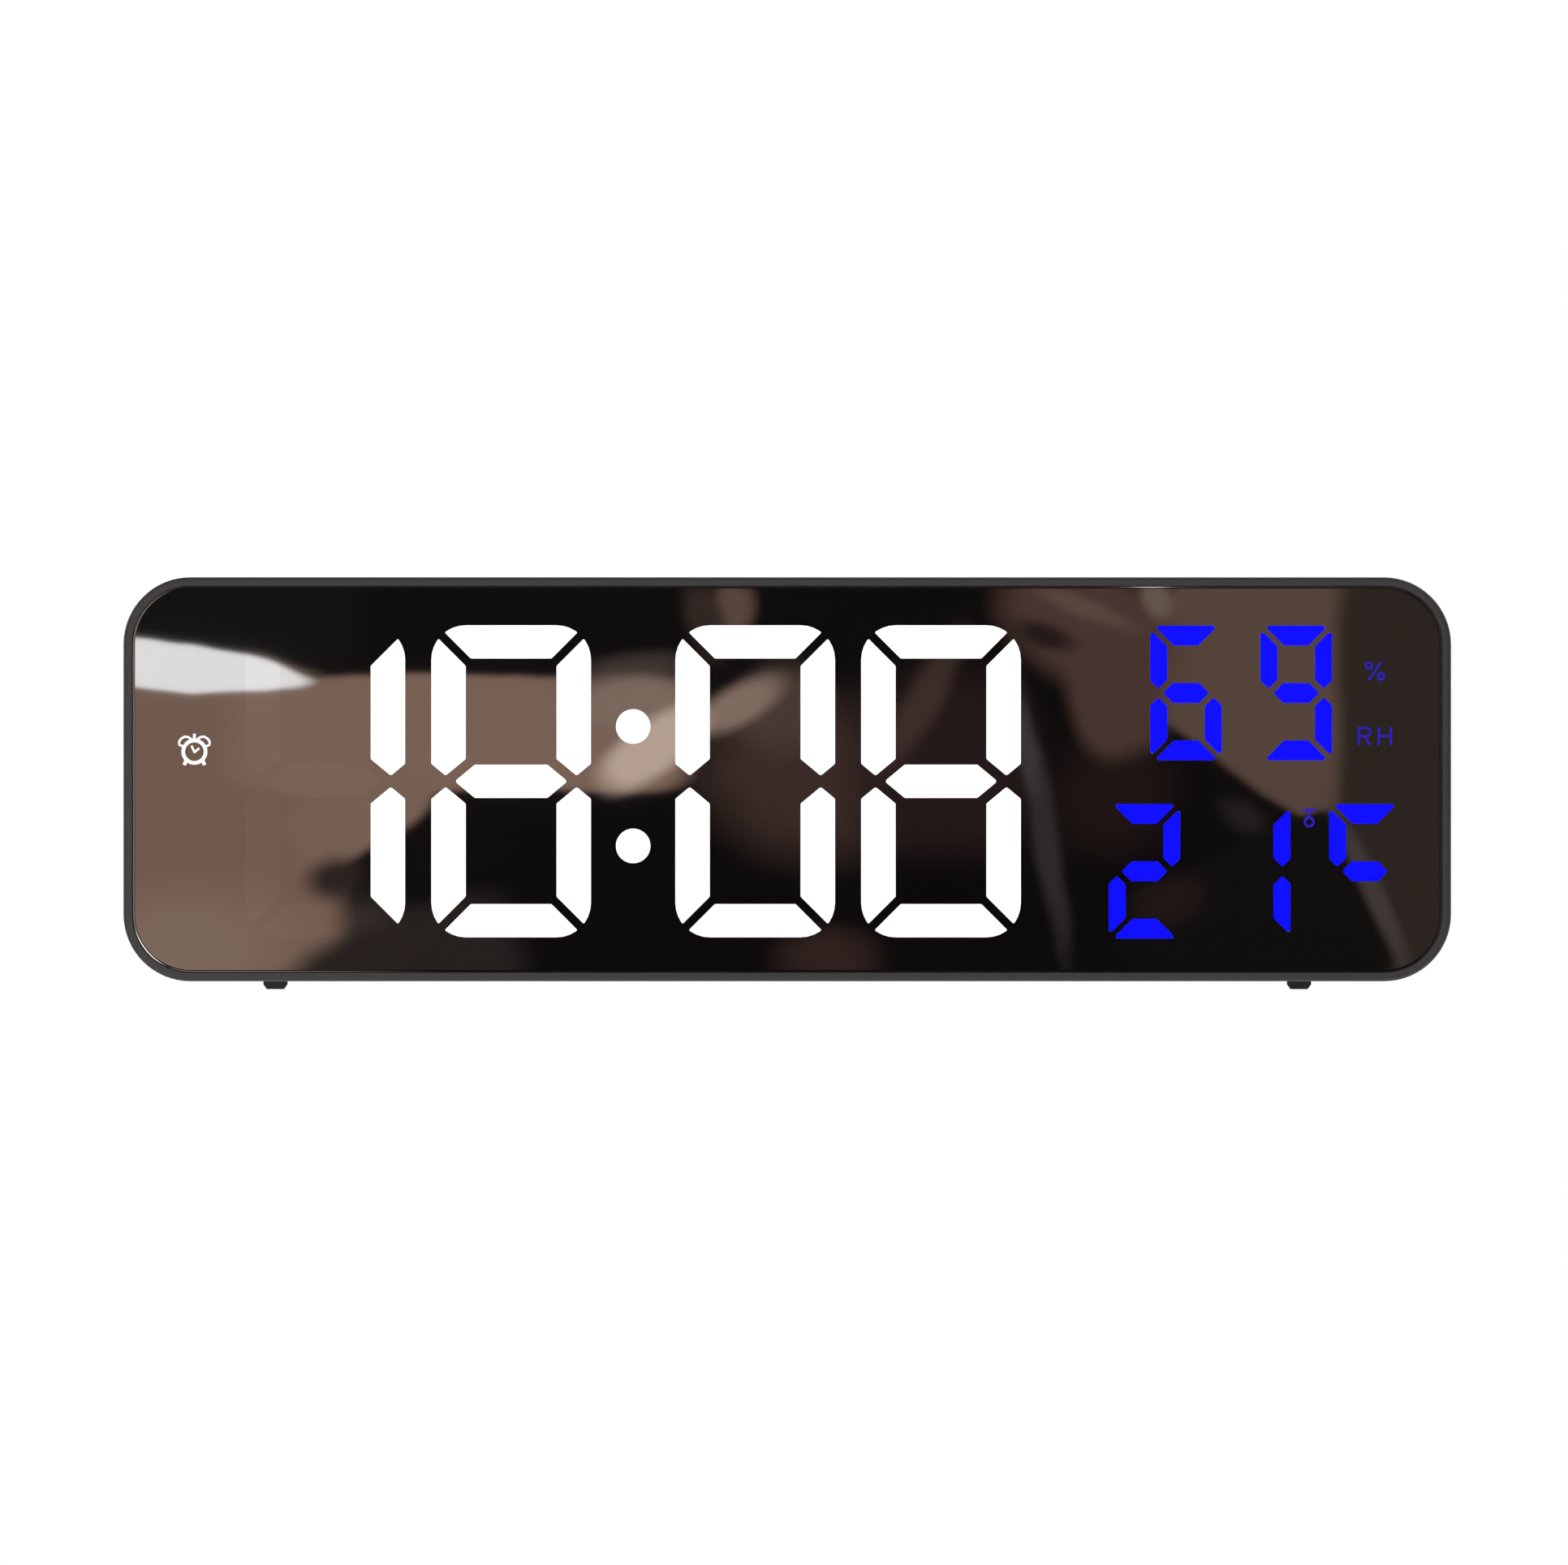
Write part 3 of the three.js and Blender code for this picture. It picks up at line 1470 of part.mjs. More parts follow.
const power = new THREE.Group();
power.add(
  piece('battery_door', batteryDoor(), darkPlastic),
  piece('battery_1', cell(-1), cellWrap, [bayCentreX, cellY, upperCellZ]),
  piece('battery_2', cell(1), cellWrap, [bayCentreX, cellY, lowerCellZ]),
  piece('positive_contact', positiveContact(), steel),
  piece('negative_contact', negativeContact(), steel),
  piece('bridge_contact', bridgeContact(), steel),
  piece('usb_socket', usbSocket(), steel),
  piece('power_board', powerBoard(), greenBoard),
  piece('battery_wire_red', batteryLead(upperCellZ, 0), redLead),
  piece('battery_wire_black', batteryLead(lowerCellZ, 1), blackLead),
  piece('key_ribbon', keyRibbon(), greyRibbon),
  piece('buzzer', buzzer(), blackFoam),
  piece('climate_sensor', climateSensor(), greenBoard),
);

const legs = new THREE.Group();
[['left', -1], ['right', 1]].forEach(([side, sign]) => {
  const place = [sign * legX, legPinY, legHingeZ];
  legs.add(piece(`leg_${side}`, leg(), darkPlastic, place));
  legs.add(piece(`leg_pin_${side}`, legPinRod(), steel, place));
});

const clock = new THREE.Group();
clock.add(front, display, rear, keys, power, legs);

console.log('least gap of a contact coil, mm:', leastCoilGap(negativeCoil).toFixed(2));

export default clock;
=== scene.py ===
import math

import bmesh
import bpy
from mathutils import Matrix, Vector
from mathutils.geometry import delaunay_2d_cdt


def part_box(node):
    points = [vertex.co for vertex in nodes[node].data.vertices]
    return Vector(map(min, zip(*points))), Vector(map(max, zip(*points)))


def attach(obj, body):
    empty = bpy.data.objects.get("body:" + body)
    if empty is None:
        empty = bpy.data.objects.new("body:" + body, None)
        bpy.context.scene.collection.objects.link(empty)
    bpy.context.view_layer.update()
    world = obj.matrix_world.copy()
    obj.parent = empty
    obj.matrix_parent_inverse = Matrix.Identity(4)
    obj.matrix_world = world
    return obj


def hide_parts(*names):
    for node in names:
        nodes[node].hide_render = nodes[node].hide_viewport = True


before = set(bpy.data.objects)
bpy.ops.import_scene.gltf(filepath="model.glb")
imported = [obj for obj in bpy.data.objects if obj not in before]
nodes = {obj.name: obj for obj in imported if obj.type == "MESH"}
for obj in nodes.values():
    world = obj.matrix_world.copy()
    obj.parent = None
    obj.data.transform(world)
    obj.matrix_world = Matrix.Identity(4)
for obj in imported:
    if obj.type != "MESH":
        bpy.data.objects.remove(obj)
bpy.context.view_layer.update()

print("frame loaded")

# Millimetres everywhere below; a mesh is scaled to metres when its piece is made.
# The display looks along -Y and the wall is the plane y = 0.

case = {
    "width": 230.0, "height": 70.0, "depth": 26.0, "corner": 11.6, "rearRound": 4.0, "rimRound": 0.8,
    "cornerSteps": 16, "cadCornerSteps": 4, "cadRoundSteps": 3,
}
cornerX, cornerZ = case["width"] / 2 - case["corner"], case["height"] / 2 - case["corner"]


def spanOf(node):  # the low corner, the high corner and the middle of a node
    low, high = (corner * 1000 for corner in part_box(node))
    return low, high, (low + high) / 2


def middle(node):
    return spanOf(node)[2]


def at(depth):
    return depth - case["depth"]


# Flat outlines as x, z points

def withoutRepeats(points):
    return [p for i, p in enumerate(points) if math.dist(p, points[i - 1]) > 0.004]


def arc(x, z, radius, start, end, steps):  # degrees, counterclockwise
    turns = [math.radians(start + (end - start) * i / steps) for i in range(steps + 1)]
    return [(x + radius * math.cos(t), z + radius * math.sin(t)) for t in turns]


def circle(x, z, radius, sides):
    return arc(x, z, radius, 0, 360, sides)[:-1]


def roundedRect(width, height, radius=0.0, x=0.0, z=0.0, steps=8):
    points = []
    for sideX, sideZ, start in ((1, 1, 0), (-1, 1, 90), (-1, -1, 180), (1, -1, 270)):
        cornerMiddle = x + sideX * (width / 2 - radius), z + sideZ * (height / 2 - radius)
        points += arc(*cornerMiddle, radius, start, start + 90, steps)
    return withoutRepeats(points)


def caseOutline(inset):
    width, height = case["width"] - 2 * inset, case["height"] - 2 * inset
    return roundedRect(width, height, case["corner"] - inset, steps=case["cornerSteps"])


def clip(outline, a, b, c):  # keeps the part where a * x + b * z >= c
    kept = []
    for i, point in enumerate(outline):
        after = outline[(i + 1) % len(outline)]
        here = a * point[0] + b * point[1] - c
        there = a * after[0] + b * after[1] - c
        if here >= 0:
            kept.append(point)
        if here * there < 0:
            share = here / (here - there)
            kept.append(tuple(p + share * (q - p) for p, q in zip(point, after)))
    return withoutRepeats(kept)


def shifted(outline, x, z):
    return [(px + x, pz + z) for px, pz in outline]


def strokeParts(path, width):  # convex pieces that together draw a line of even width
    edges = []
    for i, point in enumerate(path):
        before, after = Vector(path[max(i - 1, 0)]), Vector(path[min(i + 1, len(path) - 1)])
        along = (after - before).normalized()
        side = Vector((-along.y, along.x)) * width / 2
        edges.append((tuple(Vector(point) - side), tuple(Vector(point) + side)))
    return [[right, right2, left2, left] for (right, left), (right2, left2) in zip(edges, edges[1:])]


def rounded(outline, radius, steps=4):
    # A convex outline with every corner rounded, as far as its sides allow.
    flattest = math.radians(84)
    points = []
    for i, here in enumerate(outline):
        here = Vector(here)
        before = Vector(outline[i - 1]) - here
        after = Vector(outline[(i + 1) % len(outline)]) - here
        half = before.angle(after) / 2
        if half > flattest:
            points.append(tuple(here))
            continue
        reach = min(radius / math.tan(half), 0.45 * before.length, 0.45 * after.length)
        before.normalize()
        after.normalize()
        centre = here + (before + after).normalized() * reach / math.cos(half)
        start, end = here + before * reach - centre, here + after * reach - centre
        for k in range(steps + 1):
            points.append(tuple(centre + start.lerp(end, k / steps).normalized() * start.length))
    return withoutRepeats(points)


# Solids as bmeshes

def tessellate(bm, outline, windows, y, solidOnly=False):
    # Adds the outline's triangles, each with the set of windows that it lies in; solidOnly leaves those out.
    points, polygons = [], []
    for polygon in [outline, *windows]:
        polygons.append(list(range(len(points), len(points) + len(polygon))))
        points.extend(Vector(p) for p in polygon)
    flat = delaunay_2d_cdt(points, [], polygons, 1, 1e-5)
    verts = [bm.verts.new((x, y, z)) for x, z in flat[0]]
    faces = []
    for corners, sources in zip(flat[2], flat[5]):
        within = {source - 1 for source in sources if source > 0}
        if not (solidOnly and within):
            faces.append((bm.faces.new([verts[i] for i in corners]), within))
    return faces


def addLoft(bm, rings, capLast=True):
    # A skin through rings of x, y, z points with equal counts.
    loops = [[bm.verts.new(p) for p in ring] for ring in rings]
    faces = []
    for ringA, ringB in zip(loops, loops[1:]):
        for i in range(len(ringA)):
            j = (i + 1) % len(ringA)
            faces.append(bm.faces.new((ringA[i], ringA[j], ringB[j], ringB[i])))
    faces.append(bm.faces.new(loops[0]))
    if capLast:
        faces.append(bm.faces.new(list(reversed(loops[-1]))))
    return faces


def ringAt(outline, y):
    return [(x, y, z) for x, z in outline]


def settled(bm):
    bmesh.ops.remove_doubles(bm, verts=bm.verts, dist=0.001)
    bmesh.ops.recalc_face_normals(bm, faces=bm.faces)
    return bm


def loft(*rings):
    bm = bmesh.new()
    addLoft(bm, rings)
    return settled(bm)


def prism(outline, y0, y1):
    return loft(ringAt(outline, y0), ringAt(outline, y1))


def block(x0, x1, y0, y1, z0, z1):
    return prism([(x0, z0), (x1, z0), (x1, z1), (x0, z1)], y0, y1)


def scaled(bm, factor):
    bmesh.ops.scale(bm, vec=(factor, factor, factor), verts=bm.verts)
    return bm


def turnedTo(bm, place, turn, axis="Z"):
    # Turns the bmesh by degrees about an axis through zero, and then moves it.
    bmesh.ops.rotate(bm, verts=bm.verts, matrix=Matrix.Rotation(math.radians(turn), 3, axis))
    bmesh.ops.translate(bm, verts=bm.verts, vec=place)
    return bm


def revolve(profile, sides, place=(0, 0, 0), turn=0.0):
    # A body of revolution about Y from radius, along pairs, turned about Z; the profile ends on the axis.
    bm = bmesh.new()
    rings = []
    for radius, along in profile:
        ring = ringAt(circle(0, 0, radius, sides), along) if radius > 1e-6 else [(0, along, 0)]
        rings.append([bm.verts.new(p) for p in ring])
    for ringA, ringB in zip(rings, rings[1:]):
        for i in range(sides):
            j = (i + 1) % sides
            corners = [ring[k % len(ring)] for ring, k in ((ringA, i), (ringA, j), (ringB, j), (ringB, i))]
            bm.faces.new(list(dict.fromkeys(corners)))
    return settled(turnedTo(bm, place, turn))


def fromMesh(mesh, factor=1):
    # A bmesh of a mesh that isn't needed after it.
    bm = bmesh.new()
    bm.from_mesh(mesh)
    bpy.data.meshes.remove(mesh)
    return scaled(bm, factor)


def toMesh(bm):
    mesh = bpy.data.meshes.new("scratch")
    bm.to_mesh(mesh)
    bm.free()
    return mesh


def cadCopy(name):
    bm = fromMesh(nodes[name].data.copy(), 1000)
    bmesh.ops.remove_doubles(bm, verts=bm.verts, dist=0.002)
    for face in bm.faces:
        face.material_index = 0
    return bm


def joined(*parts):
    whole = bmesh.new()
    for part in parts:
        mesh = toMesh(part)
        whole.from_mesh(mesh)
        bpy.data.meshes.remove(mesh)
    return whole


def addObject(name, data):
    obj = bpy.data.objects.new(name, data)
    bpy.context.scene.collection.objects.link(obj)
    return obj


def evaluatedMesh(obj):
    bpy.context.view_layer.update()
    graph = bpy.context.evaluated_depsgraph_get()
    return bpy.data.meshes.new_from_object(obj.evaluated_get(graph), depsgraph=graph)


def dropObject(obj):
    mesh = obj.data
    bpy.data.objects.remove(obj)
    bpy.data.meshes.remove(mesh)


def carve(bm, tools, operation="DIFFERENCE"):
    # The bmesh with the tools' shapes taken out, or added with UNION.
    body, *cutters = [addObject("scratch", toMesh(shape)) for shape in (bm, *tools)]
    for cutter in cutters:
        step = body.modifiers.new("carve", "BOOLEAN")
        step.operation = operation
        step.solver = "EXACT"
        step.object = cutter
    result = fromMesh(evaluatedMesh(body))
    for obj in [body, *cutters]:
        dropObject(obj)
    return result


# Finer roundings on a copy of the frame's solids

def cutWhere(bm, wanted, place, normal):
    # Cuts the faces whose corners all pass the test along a plane.
    faces = [f for f in bm.faces if all(wanted(v) for v in f.verts)]
    edges = {e for f in faces for e in f.edges}
    verts = {v for f in faces for v in f.verts}
    bmesh.ops.bisect_plane(bm, geom=[*verts, *edges, *faces], dist=0.0005, plane_co=place, plane_no=normal)


def roundCorners(bm, least=7.3):
    # Cuts the case's corner facets finer and pushes them out to true arcs.
    step = math.pi / 2 / case["cadCornerSteps"]
    finer = case["cornerSteps"] // case["cadCornerSteps"]
    for sideX, sideZ in ((-1, -1), (-1, 1), (1, -1), (1, 1)):
        centre = Vector((sideX * cornerX, 0, sideZ * cornerZ))

        def outward(vert):
            off = vert.co - centre
            return off.x * sideX, off.z * sideZ

        for i in range(1, case["cornerSteps"]):
            if i % finer == 0:
                continue
            turn = math.pi / 2 * i / case["cornerSteps"]
            normal = Vector((-math.sin(turn) * sideX, 0, math.cos(turn) * sideZ))
            cutWhere(bm, lambda vert: min(outward(vert)) > -0.01, centre, normal)
        for vert in bm.verts:
            u, v = outward(vert)
            if u < 0.001 or v < 0.001 or math.hypot(u, v) < least:
                continue
            turn = math.atan2(v, u) % step
            grow = math.cos(turn - step / 2) / math.cos(step / 2)
            vert.co.x = centre.x + sideX * u * grow
            vert.co.z = centre.z + sideZ * v * grow
    return bm


def pastCorner(point):
    # How far a point lies past the middles of the case's corner arcs.
    return abs(point.x) - cornerX, abs(point.z) - cornerZ


def skinInset(point):
    # How far inside the case's outline a point lies.
    u, v = pastCorner(point)
    return case["corner"] - (math.hypot(u, v) if u > 0 and v > 0 else max(u, v))


def moveOut(vert, distance):
    u, v = pastCorner(vert.co)
    if u > 0 and v > 0:
        shareX, shareZ = u / math.hypot(u, v), v / math.hypot(u, v)
    else:
        shareX, shareZ = (1, 0) if u > v else (0, 1)
    vert.co.x += math.copysign(distance * shareX, vert.co.x)
    vert.co.z += math.copysign(distance * shareZ, vert.co.z)


def roundEdge(bm, radius, side, finer=3):
    # Makes the case's rounded front or rear edge a true arc; side is 1 at the rear and -1 at the front.
    centreY = -radius if side > 0 else at(radius)
    steps = case["cadRoundSteps"]
    step = math.pi / 2 / steps

    def chordAt(turn):  # how far out the flat facets are at a turn of the arc
        return radius * math.cos(step / 2) / math.cos(turn % step - step / 2)

    def onSkin(vert):
        u, v = radius - skinInset(vert.co), (vert.co.y - centreY) * side
        if u < -0.01 or v < -0.01:
            return False
        reach = math.hypot(u, v)
        chord = chordAt(math.atan2(max(v, 0), max(u, 0)))
        return abs(reach - chord) < 0.012 * radius + 0.01 or abs(reach - radius) < 0.01

    for i in range(1, steps * finer):
        if i % finer == 0:
            continue
        turn = math.pi / 2 * i / steps / finer
        y = centreY + side * chordAt(turn) * math.sin(turn)
        cutWhere(bm, onSkin, (0, y, 0), (0, 1, 0))
    for vert in bm.verts:
        if not onSkin(vert):
            continue
        u, v = radius - skinInset(vert.co), (vert.co.y - centreY) * side
        if u < 0.001 or v < 0.001:
            continue
        grow = radius / math.hypot(u, v)
        vert.co.y = centreY + side * v * grow
        moveOut(vert, u * grow - u)
    return bm


# Node trees

def feed(tree, sockets, values):
    # Fills sockets by name or number, with an output to be wired or with a plain value.
    for key, value in values.items():
        if isinstance(value, bpy.types.NodeSocket):
            tree.links.new(value, sockets[key])
        else:
            sockets[key].default_value = value


def addNode(tree, kind, values, **settings):
    node = tree.nodes.new(kind)
    for label, setting in settings.items():
        setattr(node, label, setting)
    feed(tree, node.inputs, values)
    return node.outputs


def addSockets(tree, direction, sockets):
    for label, kind in sockets.items():
        tree.interface.new_socket(label, in_out=direction, socket_type="NodeSocket" + kind)


def objectPlace(tree):
    return addNode(tree, "ShaderNodeTexCoord", {})["Object"]


def noise(tree, place, scale, detail=2.0, roughness=0.5):
    values = {"Vector": place, "Scale": scale, "Detail": detail, "Roughness": roughness}
    return addNode(tree, "ShaderNodeTexNoise", values)["Fac"]


def mathNode(tree, operation, *values, clamp=False):
    return addNode(tree, "ShaderNodeMath", dict(enumerate(values)), operation=operation, use_clamp=clamp)[0]


def swayed(tree, value, amount, centre=1.0, clamp=False):
    # The centre, shifted to both sides by half the amount as the value goes from 0 to 1.
    shift = mathNode(tree, "MULTIPLY", mathNode(tree, "SUBTRACT", value, 0.5), amount)
    return mathNode(tree, "ADD", shift, centre, clamp=clamp)


def vectorNode(tree, operation, *values):
    return addNode(tree, "ShaderNodeVectorMath", dict(enumerate(values)), operation=operation)[0]


def mixColours(tree, share, first, second, blend="MIX"):
    values = {0: share, 6: first, 7: second}
    return addNode(tree, "ShaderNodeMix", values, data_type="RGBA", blend_type=blend)[2]


def grey(tree, level):
    return addNode(tree, "ShaderNodeCombineColor", {0: level, 1: level, 2: level})[0]


def shaded(tree, tone, level):
    return mixColours(tree, 1.0, tone, grey(tree, level), "MULTIPLY")


# Finishes

def surfaceGroup(name, textureKind):
    tree = bpy.data.node_groups.new(name, "ShaderNodeTree")
    addSockets(tree, "INPUT", {
        "Place": "Vector", "Tone": "Color", "Tone Shift": "Float", "Texture": textureKind, "Gloss": "Float",
        "Gloss Shift": "Float",
    })
    addSockets(tree, "OUTPUT", {"Colour": "Color", "Roughness": "Float", "Height": "Float"})
    return tree, tree.nodes.new("NodeGroupInput").outputs, tree.nodes.new("NodeGroupOutput").inputs


def mouldedSurface():
    # Fine mould grain with slow shifts of tone and gloss.
    tree, given, result = surfaceGroup("mouldedSurface", "Float")
    grain = noise(tree, given["Place"], given["Texture"], 3.0, 0.6)
    cloud = noise(tree, given["Place"], 35.0, 3.0, 0.55)
    smudge = noise(tree, given["Place"], 140.0)
    level = swayed(tree, grain, given["Tone Shift"], swayed(tree, cloud, given["Tone Shift"]))
    feed(tree, result, {
        "Colour": shaded(tree, given["Tone"], level),
        "Roughness": swayed(tree, smudge, given["Gloss Shift"], given["Gloss"], True),
        "Height": grain,
    })
    return tree


def drawnStreaks():
    # Lines left by rolling or drawing a metal, along one axis of the piece.
    tree, given, result = surfaceGroup("drawnStreaks", "Vector")
    stretched = vectorNode(tree, "MULTIPLY", given["Place"], given["Texture"])
    lines = noise(tree, stretched, 1.0, 4.0, 0.6)
    feed(tree, result, {
        "Colour": shaded(tree, given["Tone"], swayed(tree, lines, given["Tone Shift"])),
        "Roughness": swayed(tree, lines, given["Gloss Shift"], given["Gloss"], True),
        "Height": lines,
    })
    return tree


def colour(*shade):
    # A colour written as the 0 to 255 values that it shows on screen.
    shares = [value / 255 for value in shade]
    return (*(s / 12.92 if s <= 0.04045 else ((s + 0.055) / 1.055) ** 2.4 for s in shares), 1.0)


finish = {}


def bareMaterial(name):
    finish[name] = bpy.data.materials.new(name)
    finish[name].use_nodes = True
    tree = finish[name].node_tree
    return tree, tree.nodes["Principled BSDF"].inputs


def surfaceMaterial(name, group, shade, toneShift, texture, gloss, glossShift, bump, metallic=0.0):
    # A Principled material fed by one of the surface groups; bump is in millimetres.
    tree, shader = bareMaterial(name)
    surface = addNode(tree, "ShaderNodeGroup", {
        "Place": objectPlace(tree), "Tone": colour(*shade), "Tone Shift": toneShift, "Texture": texture,
        "Gloss": gloss, "Gloss Shift": glossShift,
    }, node_tree=group)
    relief = {"Strength": 0.6, "Distance": bump / 1000, "Height": surface["Height"]}
    feed(tree, shader, {
        "Base Color": surface["Colour"],
        "Roughness": surface["Roughness"],
        "Normal": addNode(tree, "ShaderNodeBump", relief)["Normal"],
        "Metallic": metallic,
    })


def glowMaterial(name, tone, strength):
    # Milky plastic lit from behind, a little brighter towards a slow cloud of light.
    tree, shader = bareMaterial(name)
    cloud = noise(tree, objectPlace(tree), 90.0, 1.0, 0.4)
    feed(tree, shader, {
        "Emission Color": shaded(tree, (*tone, 1), swayed(tree, cloud, 0.12)),
        "Emission Strength": strength,
        "Base Color": (0.002, 0.002, 0.002, 1),
        "Roughness": 0.7,
        "Specular IOR Level": 0.05,
    })


def filmMaterial(name, tone, roughness):
    # The half-silvered film, with a faint cloud in its tone.
    tree, shader = bareMaterial(name)
    cloud = noise(tree, objectPlace(tree), 28.0)
    feed(tree, shader, {
        "Base Color": shaded(tree, (*tone, 1), swayed(tree, cloud, 0.05)),
        "Metallic": 1.0,
        "Roughness": roughness,
    })


def clearMaterial(name, alpha, roughness):
    tree, shader = bareMaterial(name)
    feed(tree, shader, {"Base Color": (0.02, 0.02, 0.02, 1), "Roughness": roughness, "Alpha": alpha})


# Moulded: colour, tone shift, grain scale, gloss, gloss shift and bump in millimetres
moulded = {
    "casePlastic": ((46, 44, 44), 0.16, 5200, 0.52, 0.12, 0.012),
    "keyRubber": ((74, 72, 72), 0.1, 7000, 0.78, 0.1, 0.01),
    "blackPlastic": ((28, 27, 28), 0.2, 5000, 0.5, 0.12, 0.01),
    "foamTape": ((22, 22, 22), 0.5, 2600, 0.92, 0.08, 0.06),
    "blackFilm": ((12, 12, 12), 0.2, 3000, 0.55, 0.1, 0.004),
    "milkPlastic": ((228, 228, 226), 0.04, 3000, 0.45, 0.1, 0.006),
    "whitePlastic": ((224, 223, 218), 0.05, 3600, 0.55, 0.1, 0.01),
    "boardGreen": ((26, 76, 44), 0.25, 900, 0.38, 0.15, 0.01),
    "redWire": ((176, 30, 28), 0.12, 2600, 0.42, 0.1, 0.006),
    "blackWire": ((24, 24, 24), 0.2, 2600, 0.42, 0.1, 0.006),
    "polishedEdge": ((178, 174, 172), 0.1, 1500, 0.2, 0.08, 0.002),
}
# Drawn: colour, tone shift, stretch along x, y, z, gloss, gloss shift, bump in millimetres, how metallic
drawn = {
    "steel": ((176, 176, 178), 0.3, (60, 60, 5200), 0.3, 0.2, 0.004, 1.0),
    "screwSteel": ((150, 150, 154), 0.35, (900, 900, 900), 0.32, 0.25, 0.004, 1.0),
    "pinSteel": ((112, 112, 116), 0.3, (5200, 60, 60), 0.6, 0.2, 0.004, 1.0),
    "gold": ((212, 172, 92), 0.2, (60, 60, 5200), 0.25, 0.1, 0.002, 1.0),
    "cellWrap": ((66, 78, 88), 0.3, (30, 2600, 2600), 0.32, 0.12, 0.004, 0.55),
    "cellBand": ((186, 132, 84), 0.25, (30, 2600, 2600), 0.3, 0.12, 0.004, 0.7),
    "ribbonPlastic": ((172, 172, 170), 0.35, (9000, 40, 40), 0.5, 0.1, 0.02),
}
# Film: tone and roughness; clear: alpha and roughness; glow: tone and strength
film = {
    "mirrorFilm": ((0.42, 0.405, 0.4), 0.02),
    "ghostFilm": ((0.45, 0.434, 0.429), 0.02),
    # The bright strip is a mirror band round the lens's front edge; it shows the card's painted glints and
    # far tones as a painted highlight line.
    "brightStrip": ((0.3, 0.29, 0.286), 0.05),
}
clear = {"clearFace": (0.05, 0.03), "clearBevel": (0.5, 0.2), "clearWindow": (0.02, 0.1)}
glow = {
    "whiteGlow": ((1.0, 0.99, 1.0), 1.3),
    "blueGlow": ((0.0, 0.0, 1.0), 1.35),
    "dimBlueGlow": ((0.026, 0.012, 0.5), 1.0),
}
for rows, make, extra in (
    (moulded, surfaceMaterial, [mouldedSurface()]),
    (drawn, surfaceMaterial, [drawnStreaks()]),
    (film, filmMaterial, []),
    (clear, clearMaterial, []),
    (glow, glowMaterial, []),
):
    for name, row in rows.items():
        make(name, *extra, *row)
print("finishes made")


# Pieces

def softenShading(mesh, sharpAngle=30.0):
    bm = bmesh.new()
    bm.from_mesh(mesh)
    limit = math.radians(sharpAngle)
    for face in bm.faces:
        face.smooth = True
    for edge in bm.edges:
        edge.smooth = len(edge.link_faces) == 2 and edge.calc_face_angle(0.0) < limit
    bm.to_mesh(mesh)
    bm.free()


def addPiece(name, source, finishes, body="case", replaced=(), edge=0.0, flat=True):
    # Makes a shown piece from a bmesh in millimetres, or from a mesh already in metres.
    mesh = toMesh(scaled(source, 0.001)) if isinstance(source, bmesh.types.BMesh) else source
    mesh.name = name
    for label in finishes:
        mesh.materials.append(finish[label])
    softenShading(mesh)
    piece = addObject(name, mesh)
    if edge:
        bevel = piece.modifiers.new("edges", "BEVEL")
        bevel.width = edge / 1000
        bevel.segments = 2
        bevel.limit_method = "ANGLE"
        bevel.angle_limit = math.radians(38)
        bevel.harden_normals = False
        bevel.use_clamp_overlap = True
    if flat:
        even = piece.modifiers.new("evenShading", "WEIGHTED_NORMAL")
        even.keep_sharp = True
        even.weight = 80
    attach(piece, body)
    if replaced:
        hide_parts(*replaced)


# Geometry Nodes trees

def geometryTree(name, inputs):
    tree = bpy.data.node_groups.new(name, "GeometryNodeTree")
    addSockets(tree, "INPUT", {"Geometry": "Geometry", **inputs})
    addSockets(tree, "OUTPUT", {"Geometry": "Geometry"})
    return tree, tree.nodes.new("NodeGroupInput").outputs


def finishTree(tree, geometry, material):
    # Realizes the geometry and gives it its material.
    real = addNode(tree, "GeometryNodeRealizeInstances", {0: geometry})[0]
    return addNode(tree, "GeometryNodeSetMaterial", {"Geometry": real, "Material": material})[0]


def endTree(tree, geometry):
    addNode(tree, "NodeGroupOutput", {"Geometry": geometry})
    return tree


def runTree(base, tree, values):
    # The plain mesh that a tree makes from a base bmesh, with its inputs set by name.
    obj = addObject("scratch", toMesh(base))
    step = obj.modifiers.new("tree", "NODES")
    step.node_group = tree
    for item in tree.interface.items_tree:
        if item.in_out == "INPUT" and item.name in values:
            step[item.identifier] = values[item.name]
    mesh = evaluatedMesh(obj)
    obj.modifiers.remove(step)
    dropObject(obj)
    return mesh


